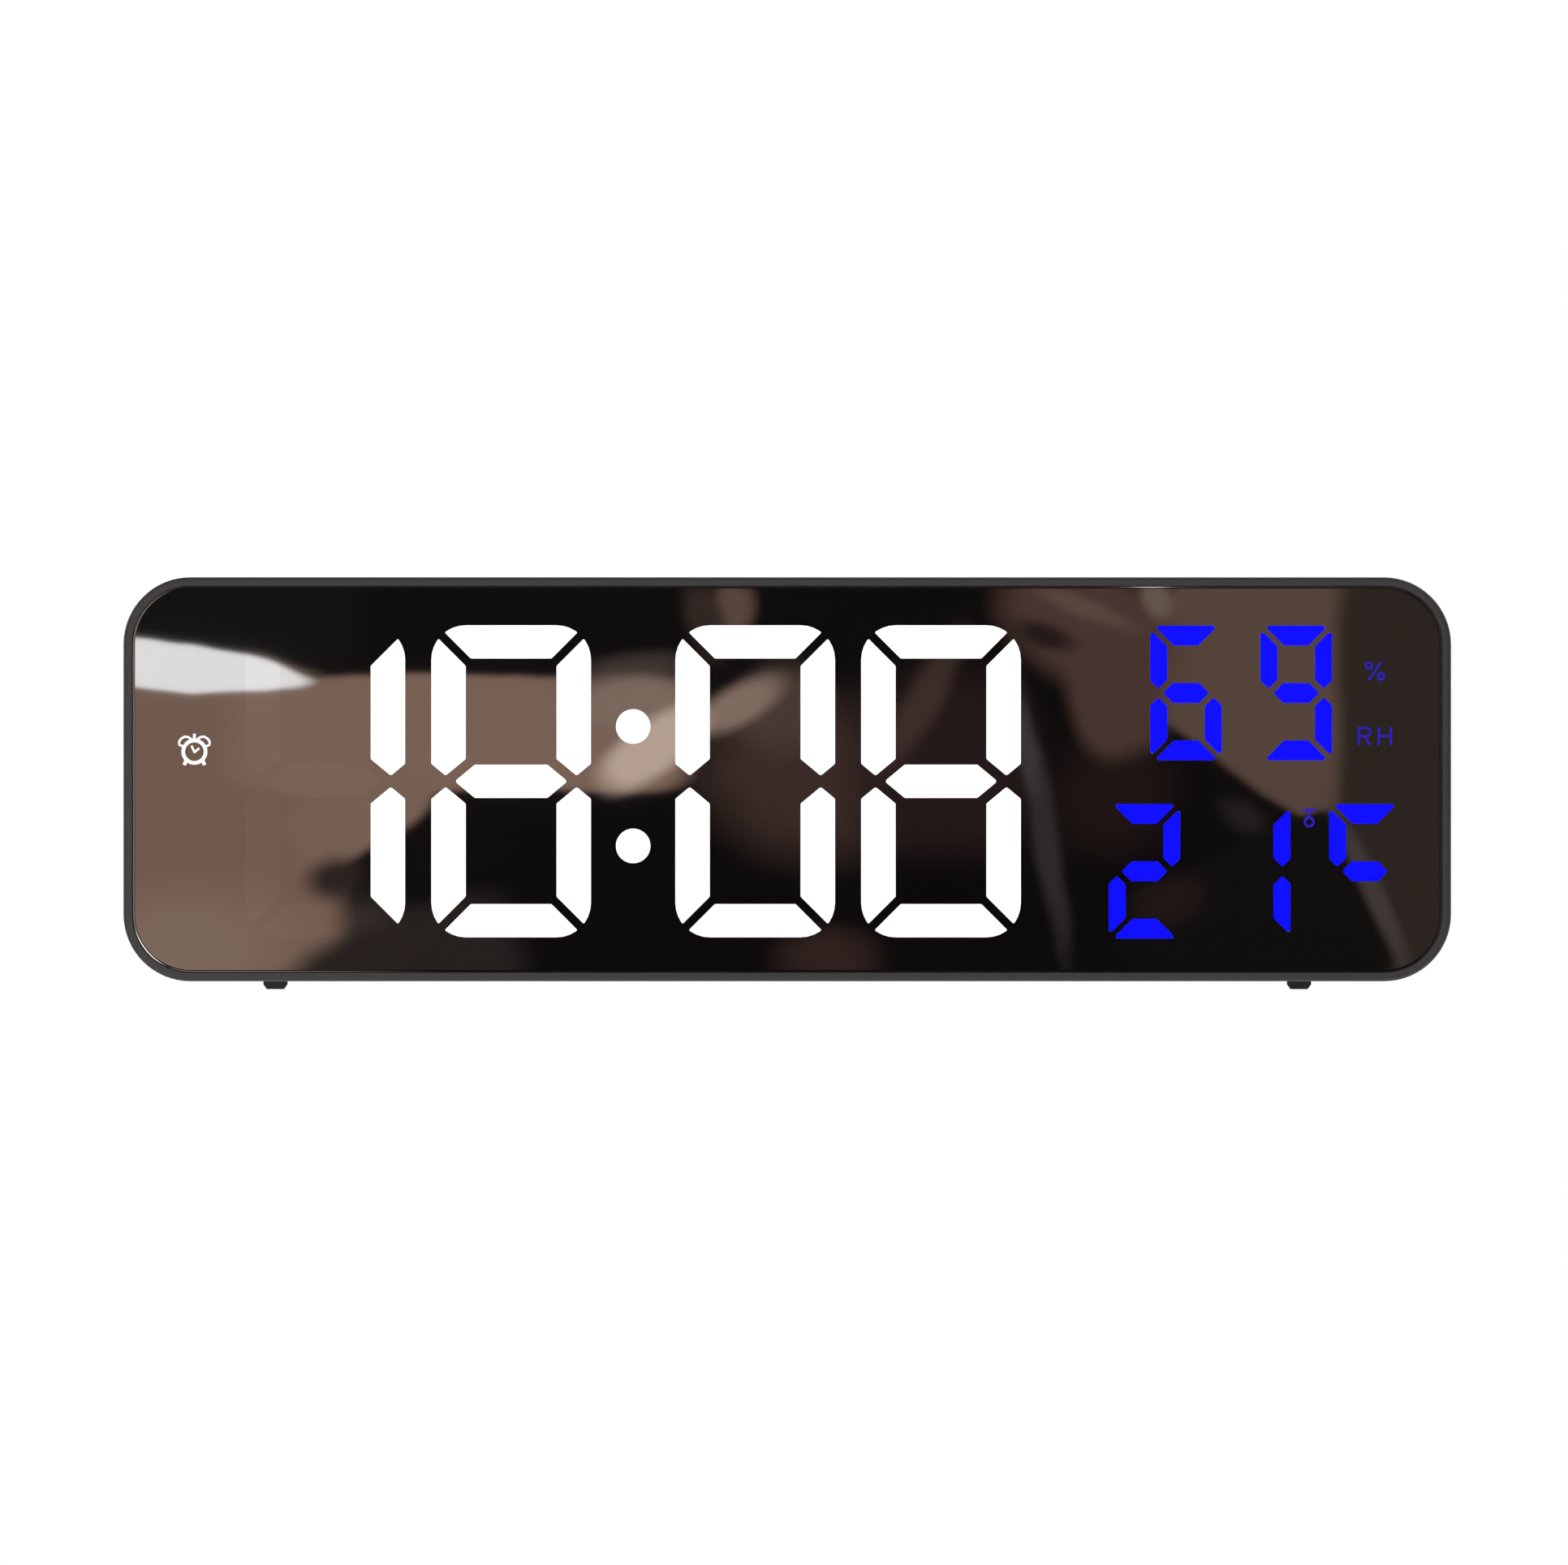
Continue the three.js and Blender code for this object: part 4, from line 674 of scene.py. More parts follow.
def figureTree():
    # Raises the window faces of a flat figure and gives it a web behind them.
    tree, given = geometryTree("raisedFigure", {
        "Raise": "Float", "Web": "Float", "Body Finish": "Material", "Glow Finish": "Material",
    })

    def compared(value, operation, level):
        values = {2: value, 3: level}
        return addNode(tree, "FunctionNodeCompare", values, data_type="INT", operation=operation)[0]

    def extruded(mode, **values):
        values = {label.replace("_", " "): value for label, value in values.items()}
        return addNode(tree, "GeometryNodeExtrudeMesh", values, mode=mode)["Mesh"]

    mark = addNode(tree, "GeometryNodeInputNamedAttribute", {"Name": "window"}, data_type="INT")["Attribute"]
    raised = extruded(
        "FACES", Mesh=given["Geometry"], Selection=compared(mark, "GREATER_THAN", 0),
        Offset_Scale=given["Raise"], Individual=False,
    )
    backward = addNode(tree, "ShaderNodeCombineXYZ", {"Y": given["Web"]})[0]
    neighbours = addNode(tree, "GeometryNodeInputMeshEdgeNeighbors", {})[0]
    walls = extruded(
        "EDGES", Mesh=raised, Selection=compared(neighbours, "EQUAL", 1), Offset=backward, Offset_Scale=1.0,
    )
    rear = addNode(tree, "GeometryNodeTransform", {"Geometry": given["Geometry"], "Translation": backward})[0]
    whole = tree.nodes.new("GeometryNodeJoinGeometry")
    for part in (walls, addNode(tree, "GeometryNodeFlipFaces", {0: rear})[0]):
        feed(tree, whole.inputs, {0: part})
    merged = addNode(tree, "GeometryNodeMergeByDistance", {"Geometry": whole.outputs[0], "Distance": 1e-6})[0]
    return endTree(tree, addNode(tree, "GeometryNodeSetMaterial", {
        "Geometry": finishTree(tree, merged, given["Body Finish"]),
        "Selection": compared(mark, "GREATER_THAN", 1),
        "Material": given["Glow Finish"],
    })[0])


def pointTree():
    # Sets a copy of one object at each point, turned by chance about Y.
    tree, given = geometryTree("pieceAtEachPoint", {
        "Copied": "Object", "Most Turn": "Float", "Seed": "Int", "Finish": "Material",
    })
    values = {2: 0.0, 3: given["Most Turn"], "Seed": given["Seed"]}
    turn = addNode(tree, "FunctionNodeRandomValue", values, data_type="FLOAT")[1]
    copies = addNode(tree, "GeometryNodeInstanceOnPoints", {
        "Points": given["Geometry"],
        "Instance": addNode(tree, "GeometryNodeObjectInfo", {"Object": given["Copied"]})["Geometry"],
        "Rotation": addNode(tree, "ShaderNodeCombineXYZ", {"Y": turn})[0],
    })[0]
    return endTree(tree, finishTree(tree, copies, given["Finish"]))


def springTree():
    # A coil along Z that narrows from its foot to its tip.
    tree, given = geometryTree("coneSpring", {
        "Turns": "Float", "Wide Radius": "Float", "Narrow Radius": "Float", "Length": "Float",
        "Wire Radius": "Float", "Finish": "Material",
    })
    coil = addNode(tree, "GeometryNodeCurveSpiral", {
        "Resolution": 40, "Rotations": given["Turns"], "Start Radius": given["Wide Radius"],
        "End Radius": given["Narrow Radius"], "Height": given["Length"],
    })[0]
    values = {"Resolution": 12, "Radius": given["Wire Radius"]}
    section = addNode(tree, "GeometryNodeCurvePrimitiveCircle", values)[0]
    values = {"Curve": coil, "Profile Curve": section, "Fill Caps": True}
    solid = addNode(tree, "GeometryNodeCurveToMesh", values)[0]
    return endTree(tree, finishTree(tree, solid, given["Finish"]))


raisedFigure = figureTree()
pieceAtEachPoint = pointTree()
coneSpring = springTree()


def pointsAt(places):
    bm = bmesh.new()
    for place in places:
        bm.verts.new(Vector(place) / 1000)
    return bm


def atEach(places, master, mostTurn=0.0, label="steel"):
    # A bmesh in millimetres with a copy of the master bmesh at every place.
    copied = addObject("master", toMesh(scaled(master, 0.001)))
    mesh = runTree(pointsAt(places), pieceAtEachPoint, {
        "Copied": copied, "Most Turn": mostTurn, "Seed": 4, "Finish": finish[label],
    })
    dropObject(copied)
    return fromMesh(mesh, 1000)


# Figures and signs on the face

largeFigure = {
    "width": 27.7, "height": 54.1, "stroke": 6.0, "bar": 5.8, "gap": 1.5, "round": 6.0,
    "tipInset": 2.5, "tipRise": 0.95, "barInset": 4.05, "slope": 0.83, "tipRound": 0.4,
}
smallFigure = {
    "width": 12.4, "height": 23.35, "stroke": 2.95, "bar": 3.45, "gap": 0.9, "round": 0.0,
    "tipInset": 1.4, "tipRise": 0.75, "barInset": 2.2, "slope": 1.0, "tipRound": 0.38,
}


def segmentOutline(figure, letter, inset):
    # One segment about the middle of its figure: a top, b c right, d bottom, e f left, g middle.
    left = -figure["width"] / 2
    bar, slope = figure["bar"], figure["slope"]
    mitre = (figure["height"] - figure["width"]) / 2
    mitreGap = (figure["gap"] / 2 + inset) * math.sqrt(2)
    slant = inset * math.hypot(1, slope)
    outline = roundedRect(
        figure["width"] - 2 * inset, figure["height"] - 2 * inset, max(figure["round"] - inset, 0.0)
    )
    if letter == "g":
        end = slope * (left + figure["barInset"]) + slant
        cuts = [(0, 1, inset - bar / 2), (0, -1, inset - bar / 2)]
        cuts += [(slope * sideX, sideZ, end) for sideX, sideZ in ((1, 1), (-1, 1), (-1, -1), (1, -1))]
    elif letter in "ad":
        cuts = [(0, 1, figure["height"] / 2 - bar + inset)]
        cuts += [(side, 1, mitre + mitreGap) for side in (1, -1)]
    else:
        tip = slope * (left + figure["tipInset"])
        cuts = [(-1, 0, inset - left - figure["stroke"]), (-1, -1, mitreGap - mitre)]
        cuts += [(side * slope, 1, figure["tipRise"] + side * tip + slant) for side in (-1, 1)]
    for cut in cuts:
        outline = clip(outline, *cut)
    flipX = -1 if letter in "bc" else 1
    flipZ = -1 if letter in "dce" else 1
    turned = [(flipX * x, flipZ * z) for x, z in outline]
    return turned[::-1] if flipX * flipZ < 0 else turned


# The sheet that joins a guide's windows, its width past the figure or sign, and the play of the windows
guideWeb = {"thick": 0.6, "pastFigure": 2.0, "pastSign": 0.8, "play": 0.03}


def figure(style, lit, glow, letters="abcdefg"):
    def outlines(inset):
        return [rounded(segmentOutline(style, letter, inset), style["tipRound"]) for letter in letters]

    past = guideWeb["pastFigure"]
    return {
        "web": roundedRect(style["width"] + past, style["height"] + past),
        "windows": outlines(guideWeb["play"]),
        "lit": [letter in lit for letter in letters],
        "shown": outlines(0.0),
        "glow": glow,
    }


def strokes(rows, place=(0, 0)):
    # A drawing moved to its place; each row is a line width and the paths drawn with it.
    parts = [part for width, *paths in rows for path in paths for part in strokeParts(path, width)]
    return [shifted(part, *place) for part in parts]


def mirrored(path):
    return [(-x, z) for x, z in path]


alarm = {
    "ring": 1.94, "ringLine": 0.62, "stemLine": 0.48, "bellLine": 0.38, "handLine": 0.36, "footLine": 0.6,
    "x": 0.07, "z": -0.57,
}


def alarmGlyph():
    bell = [
        (-2.02, 0.92), (-2.62, 1.2), (-2.64, 1.78), (-2.26, 2.3), (-1.68, 2.6), (-1.06, 2.54), (-0.5, 2.12),
    ]
    foot = [(-1.3, -1.3), (-1.78, -2.3)]
    return strokes([
        (alarm["ringLine"], arc(0, 0, alarm["ring"], 0, 360, 40)),
        (alarm["stemLine"], [(0, alarm["ring"] - 0.2), (0, 3.1)]),
        (alarm["bellLine"], bell, mirrored(bell)),
        (alarm["handLine"], [(-0.5, 1.04), (0.06, -0.16)], [(-0.06, -0.16), (0.84, 0.62)]),
        (alarm["footLine"], foot, mirrored(foot)),
    ], (alarm["x"], alarm["z"]))


# Width of the lines, and the middle of each drawing
humidity = {"line": 0.4, "percent": (0.15, 5.6), "letterR": (-1.7, -5.65), "letterH": (1.85, -5.65)}


def humidityGlyph():
    rings = [arc(side * 1.05, side * -0.95, 0.55, 0, 360, 16) for side in (-1, 1)]
    drawings = {
        "percent": [*rings, [(1.1, 1.6), (-1.1, -1.6)]],
        "letterR": [
            [(-0.95, -1.6), (-0.95, 1.6)], [(-0.95, 1.4), (0.4, 1.4)],
            arc(0.35, 0.7, 0.7, 90, -90, 8), [(0.4, 0.0), (-0.95, 0.0)], [(0.0, 0.0), (1.0, -1.6)],
        ],
        "letterH": [[(-1.05, -1.6), (-1.05, 1.6)], [(1.05, -1.6), (1.05, 1.6)], [(-1.05, 0.0), (1.05, 0.0)]],
    }
    parts = []
    for name, paths in drawings.items():
        parts += strokes([(humidity["line"], *paths)], humidity[name])
    return parts


degree = {"barLine": 0.5, "ringLine": 0.45, "ring": 0.75}


def degreeGlyph():
    ring = arc(-0.1, -0.55, degree["ring"], 0, 360, 20)
    stem = [(-0.1, 1.5), (-0.1, 0.35)]
    return strokes([(degree["barLine"], [(-1.2, 1.5), (1.0, 1.5)]), (degree["ringLine"], stem, ring)])


signSize = {"alarm_sign": (6.8, 6.8), "humidity_sign": (6.8, 16.0), "degree_sign": (2.6, 4.4)}


def signInsert(name, glyph, glow):
    width, height = signSize[name]
    past, play = guideWeb["pastSign"], 2 * guideWeb["play"]
    return {
        "web": roundedRect(width + past, height + past),
        "windows": [roundedRect(width - play, height - play)],
        "lit": [True],
        "shown": glyph,
        "glow": glow,
    }


colon = {
    "dot": 3.0, "spacing": 20.7, "window": 3.07, "windowSpacing": 20.8, "webWidth": 8.2, "webHeight": 29.0,
    "sides": 40,
}


def colonCircles(radius, spacing):
    return [circle(0, side * spacing / 2, radius, colon["sides"]) for side in (-1, 1)]


inserts = {
    "hours_tens": figure(largeFigure, "bc", "whiteGlow"),
    "hours_units": figure(largeFigure, "abcdefg", "whiteGlow"),
    "minutes_tens": figure(largeFigure, "abcdef", "whiteGlow"),
    "minutes_units": figure(largeFigure, "abcdefg", "whiteGlow"),
    "humidity_tens": figure(smallFigure, "acdefg", "blueGlow"),
    "humidity_units": figure(smallFigure, "abcdfg", "blueGlow"),
    "temperature_tens": figure(smallFigure, "abdeg", "blueGlow"),
    "temperature_units": figure(smallFigure, "bc", "blueGlow"),
    "temperature_scale": figure(smallFigure, "afg", "blueGlow", "aefg"),
    "colon_dots": {
        "web": roundedRect(colon["webWidth"], colon["webHeight"]),
        "windows": colonCircles(colon["window"], colon["windowSpacing"]),
        "lit": [True, True],
        "shown": colonCircles(colon["dot"], colon["spacing"]),
        "glow": "whiteGlow",
    },
    "alarm_sign": signInsert("alarm_sign", alarmGlyph(), "whiteGlow"),
    "humidity_sign": signInsert("humidity_sign", humidityGlyph(), "dimBlueGlow"),
    "degree_sign": signInsert("degree_sign", degreeGlyph(), "dimBlueGlow"),
}


def flatFigure(insert, x, z, y):
    bm = bmesh.new()
    mark = bm.faces.layers.int.new("window")
    windows = [shifted(window, x, z) for window in insert["windows"]]
    for face, within in tessellate(bm, shifted(insert["web"], x, z), windows, y):
        if within:
            face[mark] = 2 if insert["lit"][min(within)] else 1
    bm.normal_update()
    for face in bm.faces:
        if face.normal.y > 0:
            face.normal_flip()
    return scaled(bm, 0.001)


for name, insert in inserts.items():
    low, high, centre = spanOf(name)
    webFront = high.y - guideWeb["thick"]
    mesh = runTree(flatFigure(insert, centre.x, centre.z, webFront), raisedFigure, {
        "Raise": (webFront - low.y) / 1000,
        "Web": guideWeb["thick"] / 1000,
        "Body Finish": finish["milkPlastic"],
        "Glow Finish": finish[insert["glow"]],
    })
    bm = bmesh.new()
    bm.from_mesh(mesh)
    bmesh.ops.recalc_face_normals(bm, faces=bm.faces)
    bm.to_mesh(mesh)
    bm.free()
    addPiece(name + "_guide", mesh, (), replaced=[name], flat=False)
print("light guides made")


# Mirror panel: clear acrylic with the half-silvered film on its back, and the black mask behind it

panel = {"inset": 1.6, "bevel": 0.1, "strip": 0.25, "stripRise": 0.05, "front": 0.3, "back": 2.3, "mask": 4.8}


def faceWindows():
    # Every shown outline on the face, with True where it is lit and False for a ghost.
    shown = []
    for name, insert in inserts.items():
        centre = middle(name)
        for i, outline in enumerate(insert["shown"]):
            lit = name in signSize or insert["lit"][i]
            if lit or name == "hours_tens":
                shown.append((shifted(outline, centre.x, centre.z), lit))
    return shown


def mirrorPanel():
    bm = bmesh.new()
    front, back = at(panel["front"]), at(panel["back"])
    outer = caseOutline(panel["inset"])
    skin = addLoft(bm, [
        ringAt(caseOutline(panel["inset"] + panel["bevel"] + panel["strip"]), front),
        ringAt(caseOutline(panel["inset"] + panel["bevel"]), front + panel["stripRise"]),
        ringAt(outer, front + panel["stripRise"] + panel["bevel"]),
        ringAt(outer, back),
    ], capLast=False)
    around = len(outer)
    # The bright strip on the front edge shows painted highlights from the card; then come the bevel and the
    # polished side, and the front is the clear face.
    for i, face in enumerate(skin):
        face.material_index = (6, 5, 1)[min(i // around, 2)]
    skin[-1].material_index = 0
    shown = faceWindows()
    for face, within in tessellate(bm, outer, [outline for outline, lit in shown], back):
        face.material_index = 2
        if within:
            face.material_index = 3 if any(shown[w][1] for w in within) else 4
    return settled(bm)


addPiece(
    "mirrorPanel", mirrorPanel(), [
        "clearFace", "polishedEdge", "mirrorFilm", "clearWindow", "ghostFilm", "clearBevel", "brightStrip",
    ],
    replaced=["mirror_lens"], flat=False,
)


def maskSheet():
    low, high = spanOf("mask_plate")[:2]
    holes = []
    for name, insert in inserts.items():
        centre = middle(name)
        outlines = [roundedRect(*signSize[name])] if name in signSize else insert["shown"]
        holes += [shifted(outline, centre.x, centre.z) for outline in outlines]
    bm = bmesh.new()
    tessellate(bm, caseOutline(panel["mask"]), holes, low.y, solidOnly=True)
    thick = bmesh.ops.extrude_face_region(bm, geom=bm.faces[:], use_keep_orig=True)
    moved = [g for g in thick["geom"] if isinstance(g, bmesh.types.BMVert)]
    bmesh.ops.translate(bm, verts=moved, vec=(0, high.y - low.y, 0))
    bmesh.ops.delete(bm, geom=[v for v in bm.verts if not v.link_faces], context="VERTS")
    return settled(bm)


addPiece("maskSheet", maskSheet(), ["blackFilm"], replaced=["mask_plate"], flat=False)
print("mirror panel made")


# Case: front rim, rear housing and what fastens them

addPiece(
    "faceRim", roundEdge(roundCorners(cadCopy("front_frame")), case["rimRound"], -1), ["casePlastic"],
    replaced=["front_frame"], edge=0.22,
)
tape = roundCorners(cadCopy("lens_tape"))
addPiece("lensTape", tape, ["foamTape"], replaced=["lens_tape"])

rear = {
    "keyXs": (-22.5, -7.5, 7.5, 22.5), "keyZ": 14.0, "keyBore": 3.8,
    "stripWidth": 64.0, "stripHeight": 11.0, "stripDepth": 1.2,
    "hangerX": 65.0, "entryZ": 12.0, "entryRadius": 5.0, "slotRadius": 2.5, "slotTop": 20.0,
    "soundRadius": 0.8, "soundRing": 3.4, "counterbore": 2.2, "counterDepth": 8.0,
    "grow": 0.012,  # how far a fine cutter reaches past the facets that it replaces
    "short": 0.004,  # how far it stops before the floor that is there
}


def rearHousing():
    def borers(places, radius, y0, y1, sides):
        cutter = prism(circle(0, 0, radius + rear["grow"], sides), y0, y1)
        return atEach([(x, 0, z) for x, z in places], cutter)

    screws = [middle(f"case_screw_{i}").xz for i in range(1, 5)]
    buzzer = middle("buzzer").xz
    ring = [buzzer, *circle(*buzzer, rear["soundRing"], 6)]
    wide, tall = rear["stripWidth"] + rear["grow"], rear["stripHeight"] + rear["grow"]
    strip = roundedRect(wide, tall, rear["stripHeight"] / 2, 0, rear["keyZ"], 16)
    hangerXs = (-rear["hangerX"], rear["hangerX"])
    return carve(roundEdge(roundCorners(cadCopy("rear_housing")), case["rearRound"], 1, 4), [
        prism(strip, rear["short"] - rear["stripDepth"], 1.0),
        borers([(x, rear["keyZ"]) for x in rear["keyXs"]], rear["keyBore"], -3.6, -0.9, 40),
        borers([(x, rear["entryZ"]) for x in hangerXs], rear["entryRadius"], -2.1, 1.0, 48),
        borers([(x, rear["slotTop"]) for x in hangerXs], rear["slotRadius"], -2.1, 1.0, 32),
        borers(ring, rear["soundRadius"], -2.6, 1.0, 20),
        borers(screws, rear["counterbore"], rear["short"] - rear["counterDepth"], 1.0, 32),
    ])


addPiece("rearHousing", rearHousing(), ["casePlastic"], replaced=["rear_housing"])
print("case made")

screwShape = {
    "shank": 0.95, "tip": 0.9, "head": 1.9, "headHeight": 1.4, "headRound": 0.75, "recess": 0.7,
    "slotLong": 2.3, "slotWide": 0.6, "sides": 28, "mostTurn": 1.5,
}


def screwMaster(length):
    core, head, tall = screwShape["shank"], screwShape["head"], screwShape["headHeight"]
    rounding = screwShape["headRound"]
    bm = revolve([
        (0, -length), (core * 0.45, -length), (core, screwShape["tip"] - length), (core, 0), (head - 0.1, 0),
        (head, 0.1), *arc(head - rounding, tall - rounding, rounding, 0, 90, 6), (0, tall),
    ], screwShape["sides"])
    slotLong, slotWide = screwShape["slotLong"], screwShape["slotWide"]
    return carve(bm, [
        loft(
            ringAt(roundedRect(wide * 0.72, high * 0.72), tall - screwShape["recess"]),
            ringAt(roundedRect(wide, high), tall + 0.2),
        )
        for wide, high in ((slotLong, slotWide), (slotWide, slotLong))
    ])


def addScrews(name, labels):
    low, high = spanOf(labels[0])[:2]
    seat = high.y - screwShape["headHeight"]
    places = [(middle(label).x, seat, middle(label).z) for label in labels]
    screws = atEach(places, screwMaster(seat - low.y), screwShape["mostTurn"], "screwSteel")
    addPiece(name, screws, ["screwSteel"], replaced=labels)


addScrews("caseScrews", [f"case_screw_{i}" for i in range(1, 5)])
addScrews("boardScrews", [f"board_screw_{i}" for i in range(1, 5)])
print("screws made")


# Buttons

keyCap = {
    "radius": 3.5, "face": -0.4, "round": 0.4, "dish": 0.25, "dishSteps": 8, "flange": 1.0, "back": -3.5,
    "stem": 1.5, "sides": 48,
}


def keyProfile(low):
    radius, face, turnIn = keyCap["radius"], keyCap["face"], keyCap["round"]
    stem, back, flange = keyCap["stem"], keyCap["back"], keyCap["flange"]
    shares = [1 - i / keyCap["dishSteps"] for i in range(1, keyCap["dishSteps"] + 1)]
    return [
        (0, low), (stem, low), (stem, back - flange), (radius + flange, back - flange),
        (radius + flange, back), (radius, back), *arc(radius - turnIn, face - turnIn, turnIn, 0, 90, 6),
        *(((radius - turnIn) * share, face - keyCap["dish"] * (1 - share ** 2)) for share in shares),
    ]


for key in ("set", "mode", "up", "down"):
    low, high, centre = spanOf(key + "_button")
    cap = revolve(keyProfile(low.y), keyCap["sides"], (centre.x, 0, centre.z))
    addPiece(key + "Button", cap, ["keyRubber"], key + "_key", [key + "_button"])
print("buttons made")


# Battery door, cells and contacts

door = {"scoopRadius": 5.5, "scoopDepth": 0.5, "tongueHeight": 3.4}


def batteryDoor():
    low, high, centre = spanOf("battery_door")
    top = high.z - 2 * door["tongueHeight"]
    scoop = clip(circle(centre.x, top, door["scoopRadius"] + 0.02, 48), 0, -1, -top)
    return carve(cadCopy("battery_door"), [prism(scoop, high.y - door["scoopDepth"] - 0.002, 1.0)])


addPiece("batteryDoor", batteryDoor(), ["casePlastic"], "door", ["battery_door"], edge=0.12)

cellShape = {
    "radius": 5.25, "nub": 1.9, "nubHeight": 0.8, "round": 0.55, "band": 12.0, "bandSink": 0.03, "sides": 48,
}


def cellBody(name, side):
    low, high, centre = spanOf(name)
    half = (high.x - low.x) / 2
    shoulder = half - cellShape["nubHeight"]
    bandStart = shoulder - cellShape["band"]
    radius, turnIn, nub = cellShape["radius"], cellShape["round"], cellShape["nub"]
    bandRadius = radius - cellShape["bandSink"]
    profile = [
        (0, -half + 0.15), (radius - 1.1, -half + 0.15), (radius - 0.9, -half),
        *arc(radius - turnIn, -half + turnIn, turnIn, -90, 0, 4),
        (radius, bandStart), (bandRadius, bandStart + 0.06), (bandRadius, shoulder - turnIn - 0.3),
        (radius, shoulder - turnIn - 0.24), *arc(radius - turnIn, shoulder - turnIn, turnIn, 0, 90, 4),
        (radius - 1.0, shoulder), (radius - 1.2, shoulder - 0.25), (nub + 0.4, shoulder - 0.25),
        (nub, shoulder), (nub, half - 0.25), (nub - 0.25, half), (0, half),
    ]
    bm = revolve([(r, side * along) for r, along in profile], cellShape["sides"], centre, -90)
    for face in bm.faces:
        off = face.calc_center_median() - centre
        if math.hypot(off.y, off.z) < radius - 0.5:
            face.material_index = 2
        elif off.x * side > bandStart:
            face.material_index = 1
    return bm


for name, side in (("battery_1", -1), ("battery_2", 1)):
    addPiece(
        name + "_cell", cellBody(name, side), ["cellWrap", "cellBand", "steel"], replaced=[name],
    )

bay = {
    "left": 12.15, "right": 61.85, "plate": 0.4, "gap": 0.1, "half": 4.0, "tabWidth": 2.0, "tabHeight": 0.6,
}
coil = {"turns": 2.5, "wide": 3.7, "narrow": 1.4, "wire": 0.3, "offPlate": 0.12, "end": 2.0}
dimple = [(0, 0.3), (1.9, 0.3), (1.9, 1.6), (1.55, 2.1), (0.9, 2.3), (0, 2.3)]
cellY = middle("battery_1").y
upperZ, lowerZ = middle("battery_1").z, middle("battery_2").z


def contactPlate(wallX, side, firstZ, lastZ):
    near = wallX + side * bay["gap"]
    far = near + side * bay["plate"]
    half = bay["half"]
    return block(min(near, far), max(near, far), cellY - half, cellY + half, firstZ - half, lastZ + half)


def contactTab(z):
    low = spanOf("negative_contact")[0]
    plateX = bay["left"] + bay["gap"]
    half = bay["tabWidth"] / 2
    return joined(
        block(low.x, plateX + bay["plate"] / 2, low.y, low.y + bay["tabHeight"], z - half, z + half),
        block(plateX, plateX + bay["plate"], low.y, cellY, z - half, z + half),
    )


def spring(wallX, side, z):
    start = bay["gap"] + bay["plate"] + coil["offPlate"]
    mesh = runTree(pointsAt([]), coneSpring, {
        "Turns": coil["turns"],
        "Wide Radius": coil["wide"] / 1000,
        "Narrow Radius": coil["narrow"] / 1000,
        "Length": (coil["end"] - start) / 1000,
        "Wire Radius": coil["wire"] / 1000,
        "Finish": finish["steel"],
    })
    return turnedTo(fromMesh(mesh, 1000), (wallX + side * start, cellY, z), side * 90, "Y")


negative = joined(
    carve(contactPlate(bay["left"], 1, lowerZ, lowerZ), [contactTab(lowerZ)], "UNION"),
    spring(bay["left"], 1, lowerZ),
)
addPiece("negativeContact", negative, ["steel"], replaced=["negative_contact"])
dimpleBody = revolve(dimple, 32, (bay["right"], cellY, lowerZ), 90)
bridge = joined(
    carve(contactPlate(bay["right"], -1, lowerZ, upperZ), [dimpleBody], "UNION"),
    spring(bay["right"], -1, upperZ),
)
addPiece("bridgeContact", bridge, ["steel"], replaced=["bridge_contact"])
print("battery bay made")


# Legs

legShape = {
    "width": 4.2, "thickness": 3.0, "length": 44.5, "chamfer": 0.6, "chamferRise": 0.85, "bore": 1.3,
    "notchRise": 9.0, "notchRadius": 1.5, "notchDepth": 0.5,
}


def leg(name):
    low, high, centre = spanOf(name)
    half, back, bore = legShape["width"] / 2, legShape["thickness"] / 2, legShape["bore"]
    hingeZ = low.z + legShape["length"]
    outline = [(centre.y - back, low.z), (centre.y + back, low.z)]
    outline += [(centre.y + y, hingeZ + z) for y, z in arc(0, 0, back, 0, 180, 20)]
    ends = (-half - 1, half + 1)
    boreProfile = [(0, ends[0]), (bore, ends[0]), (bore, ends[1]), (0, ends[1])]
    tools = [revolve(boreProfile, 32, (centre.x, centre.y, hingeZ), -90)]
    for side in (-1, 1):  # the chamfers of the foot
        inner, edge, outer = (centre.x + side * (half + past) for past in (-legShape["chamfer"], 0, 0.5))
        start, rise = low.z - 1e-3, low.z + legShape["chamferRise"]
        corner = [(inner, start), (outer, start), (outer, rise), (edge, rise)]
        tools.append(prism(corner, centre.y - back - 1, centre.y + back + 1))
    notch = circle(centre.x, low.z + legShape["notchRise"], legShape["notchRadius"], 32)
    tools.append(prism(notch, centre.y + back - legShape["notchDepth"], centre.y + back + 1))
    return carve(loft(*([(centre.x + side * half, y, z) for y, z in outline] for side in (-1, 1))), tools)


for side in ("left", "right"):
    addPiece(
        side + "Leg", leg("leg_" + side), ["casePlastic"], side + "_leg", ["leg_" + side],
        edge=0.15,
    )
print("legs made")


# Power inlet

inlet = {
    "width": 8.9, "height": 3.2, "wall": 0.35, "floor": 1.0, "tongue": 0.7, "side": 1.3, "sink": 0.8,
    "pads": 12, "padStep": 0.48, "padHalf": (0.13, 0.02, 1.9), "padMiddle": 2.3,
}
inletLow, inletHigh, inletMiddle = spanOf("usb_socket")


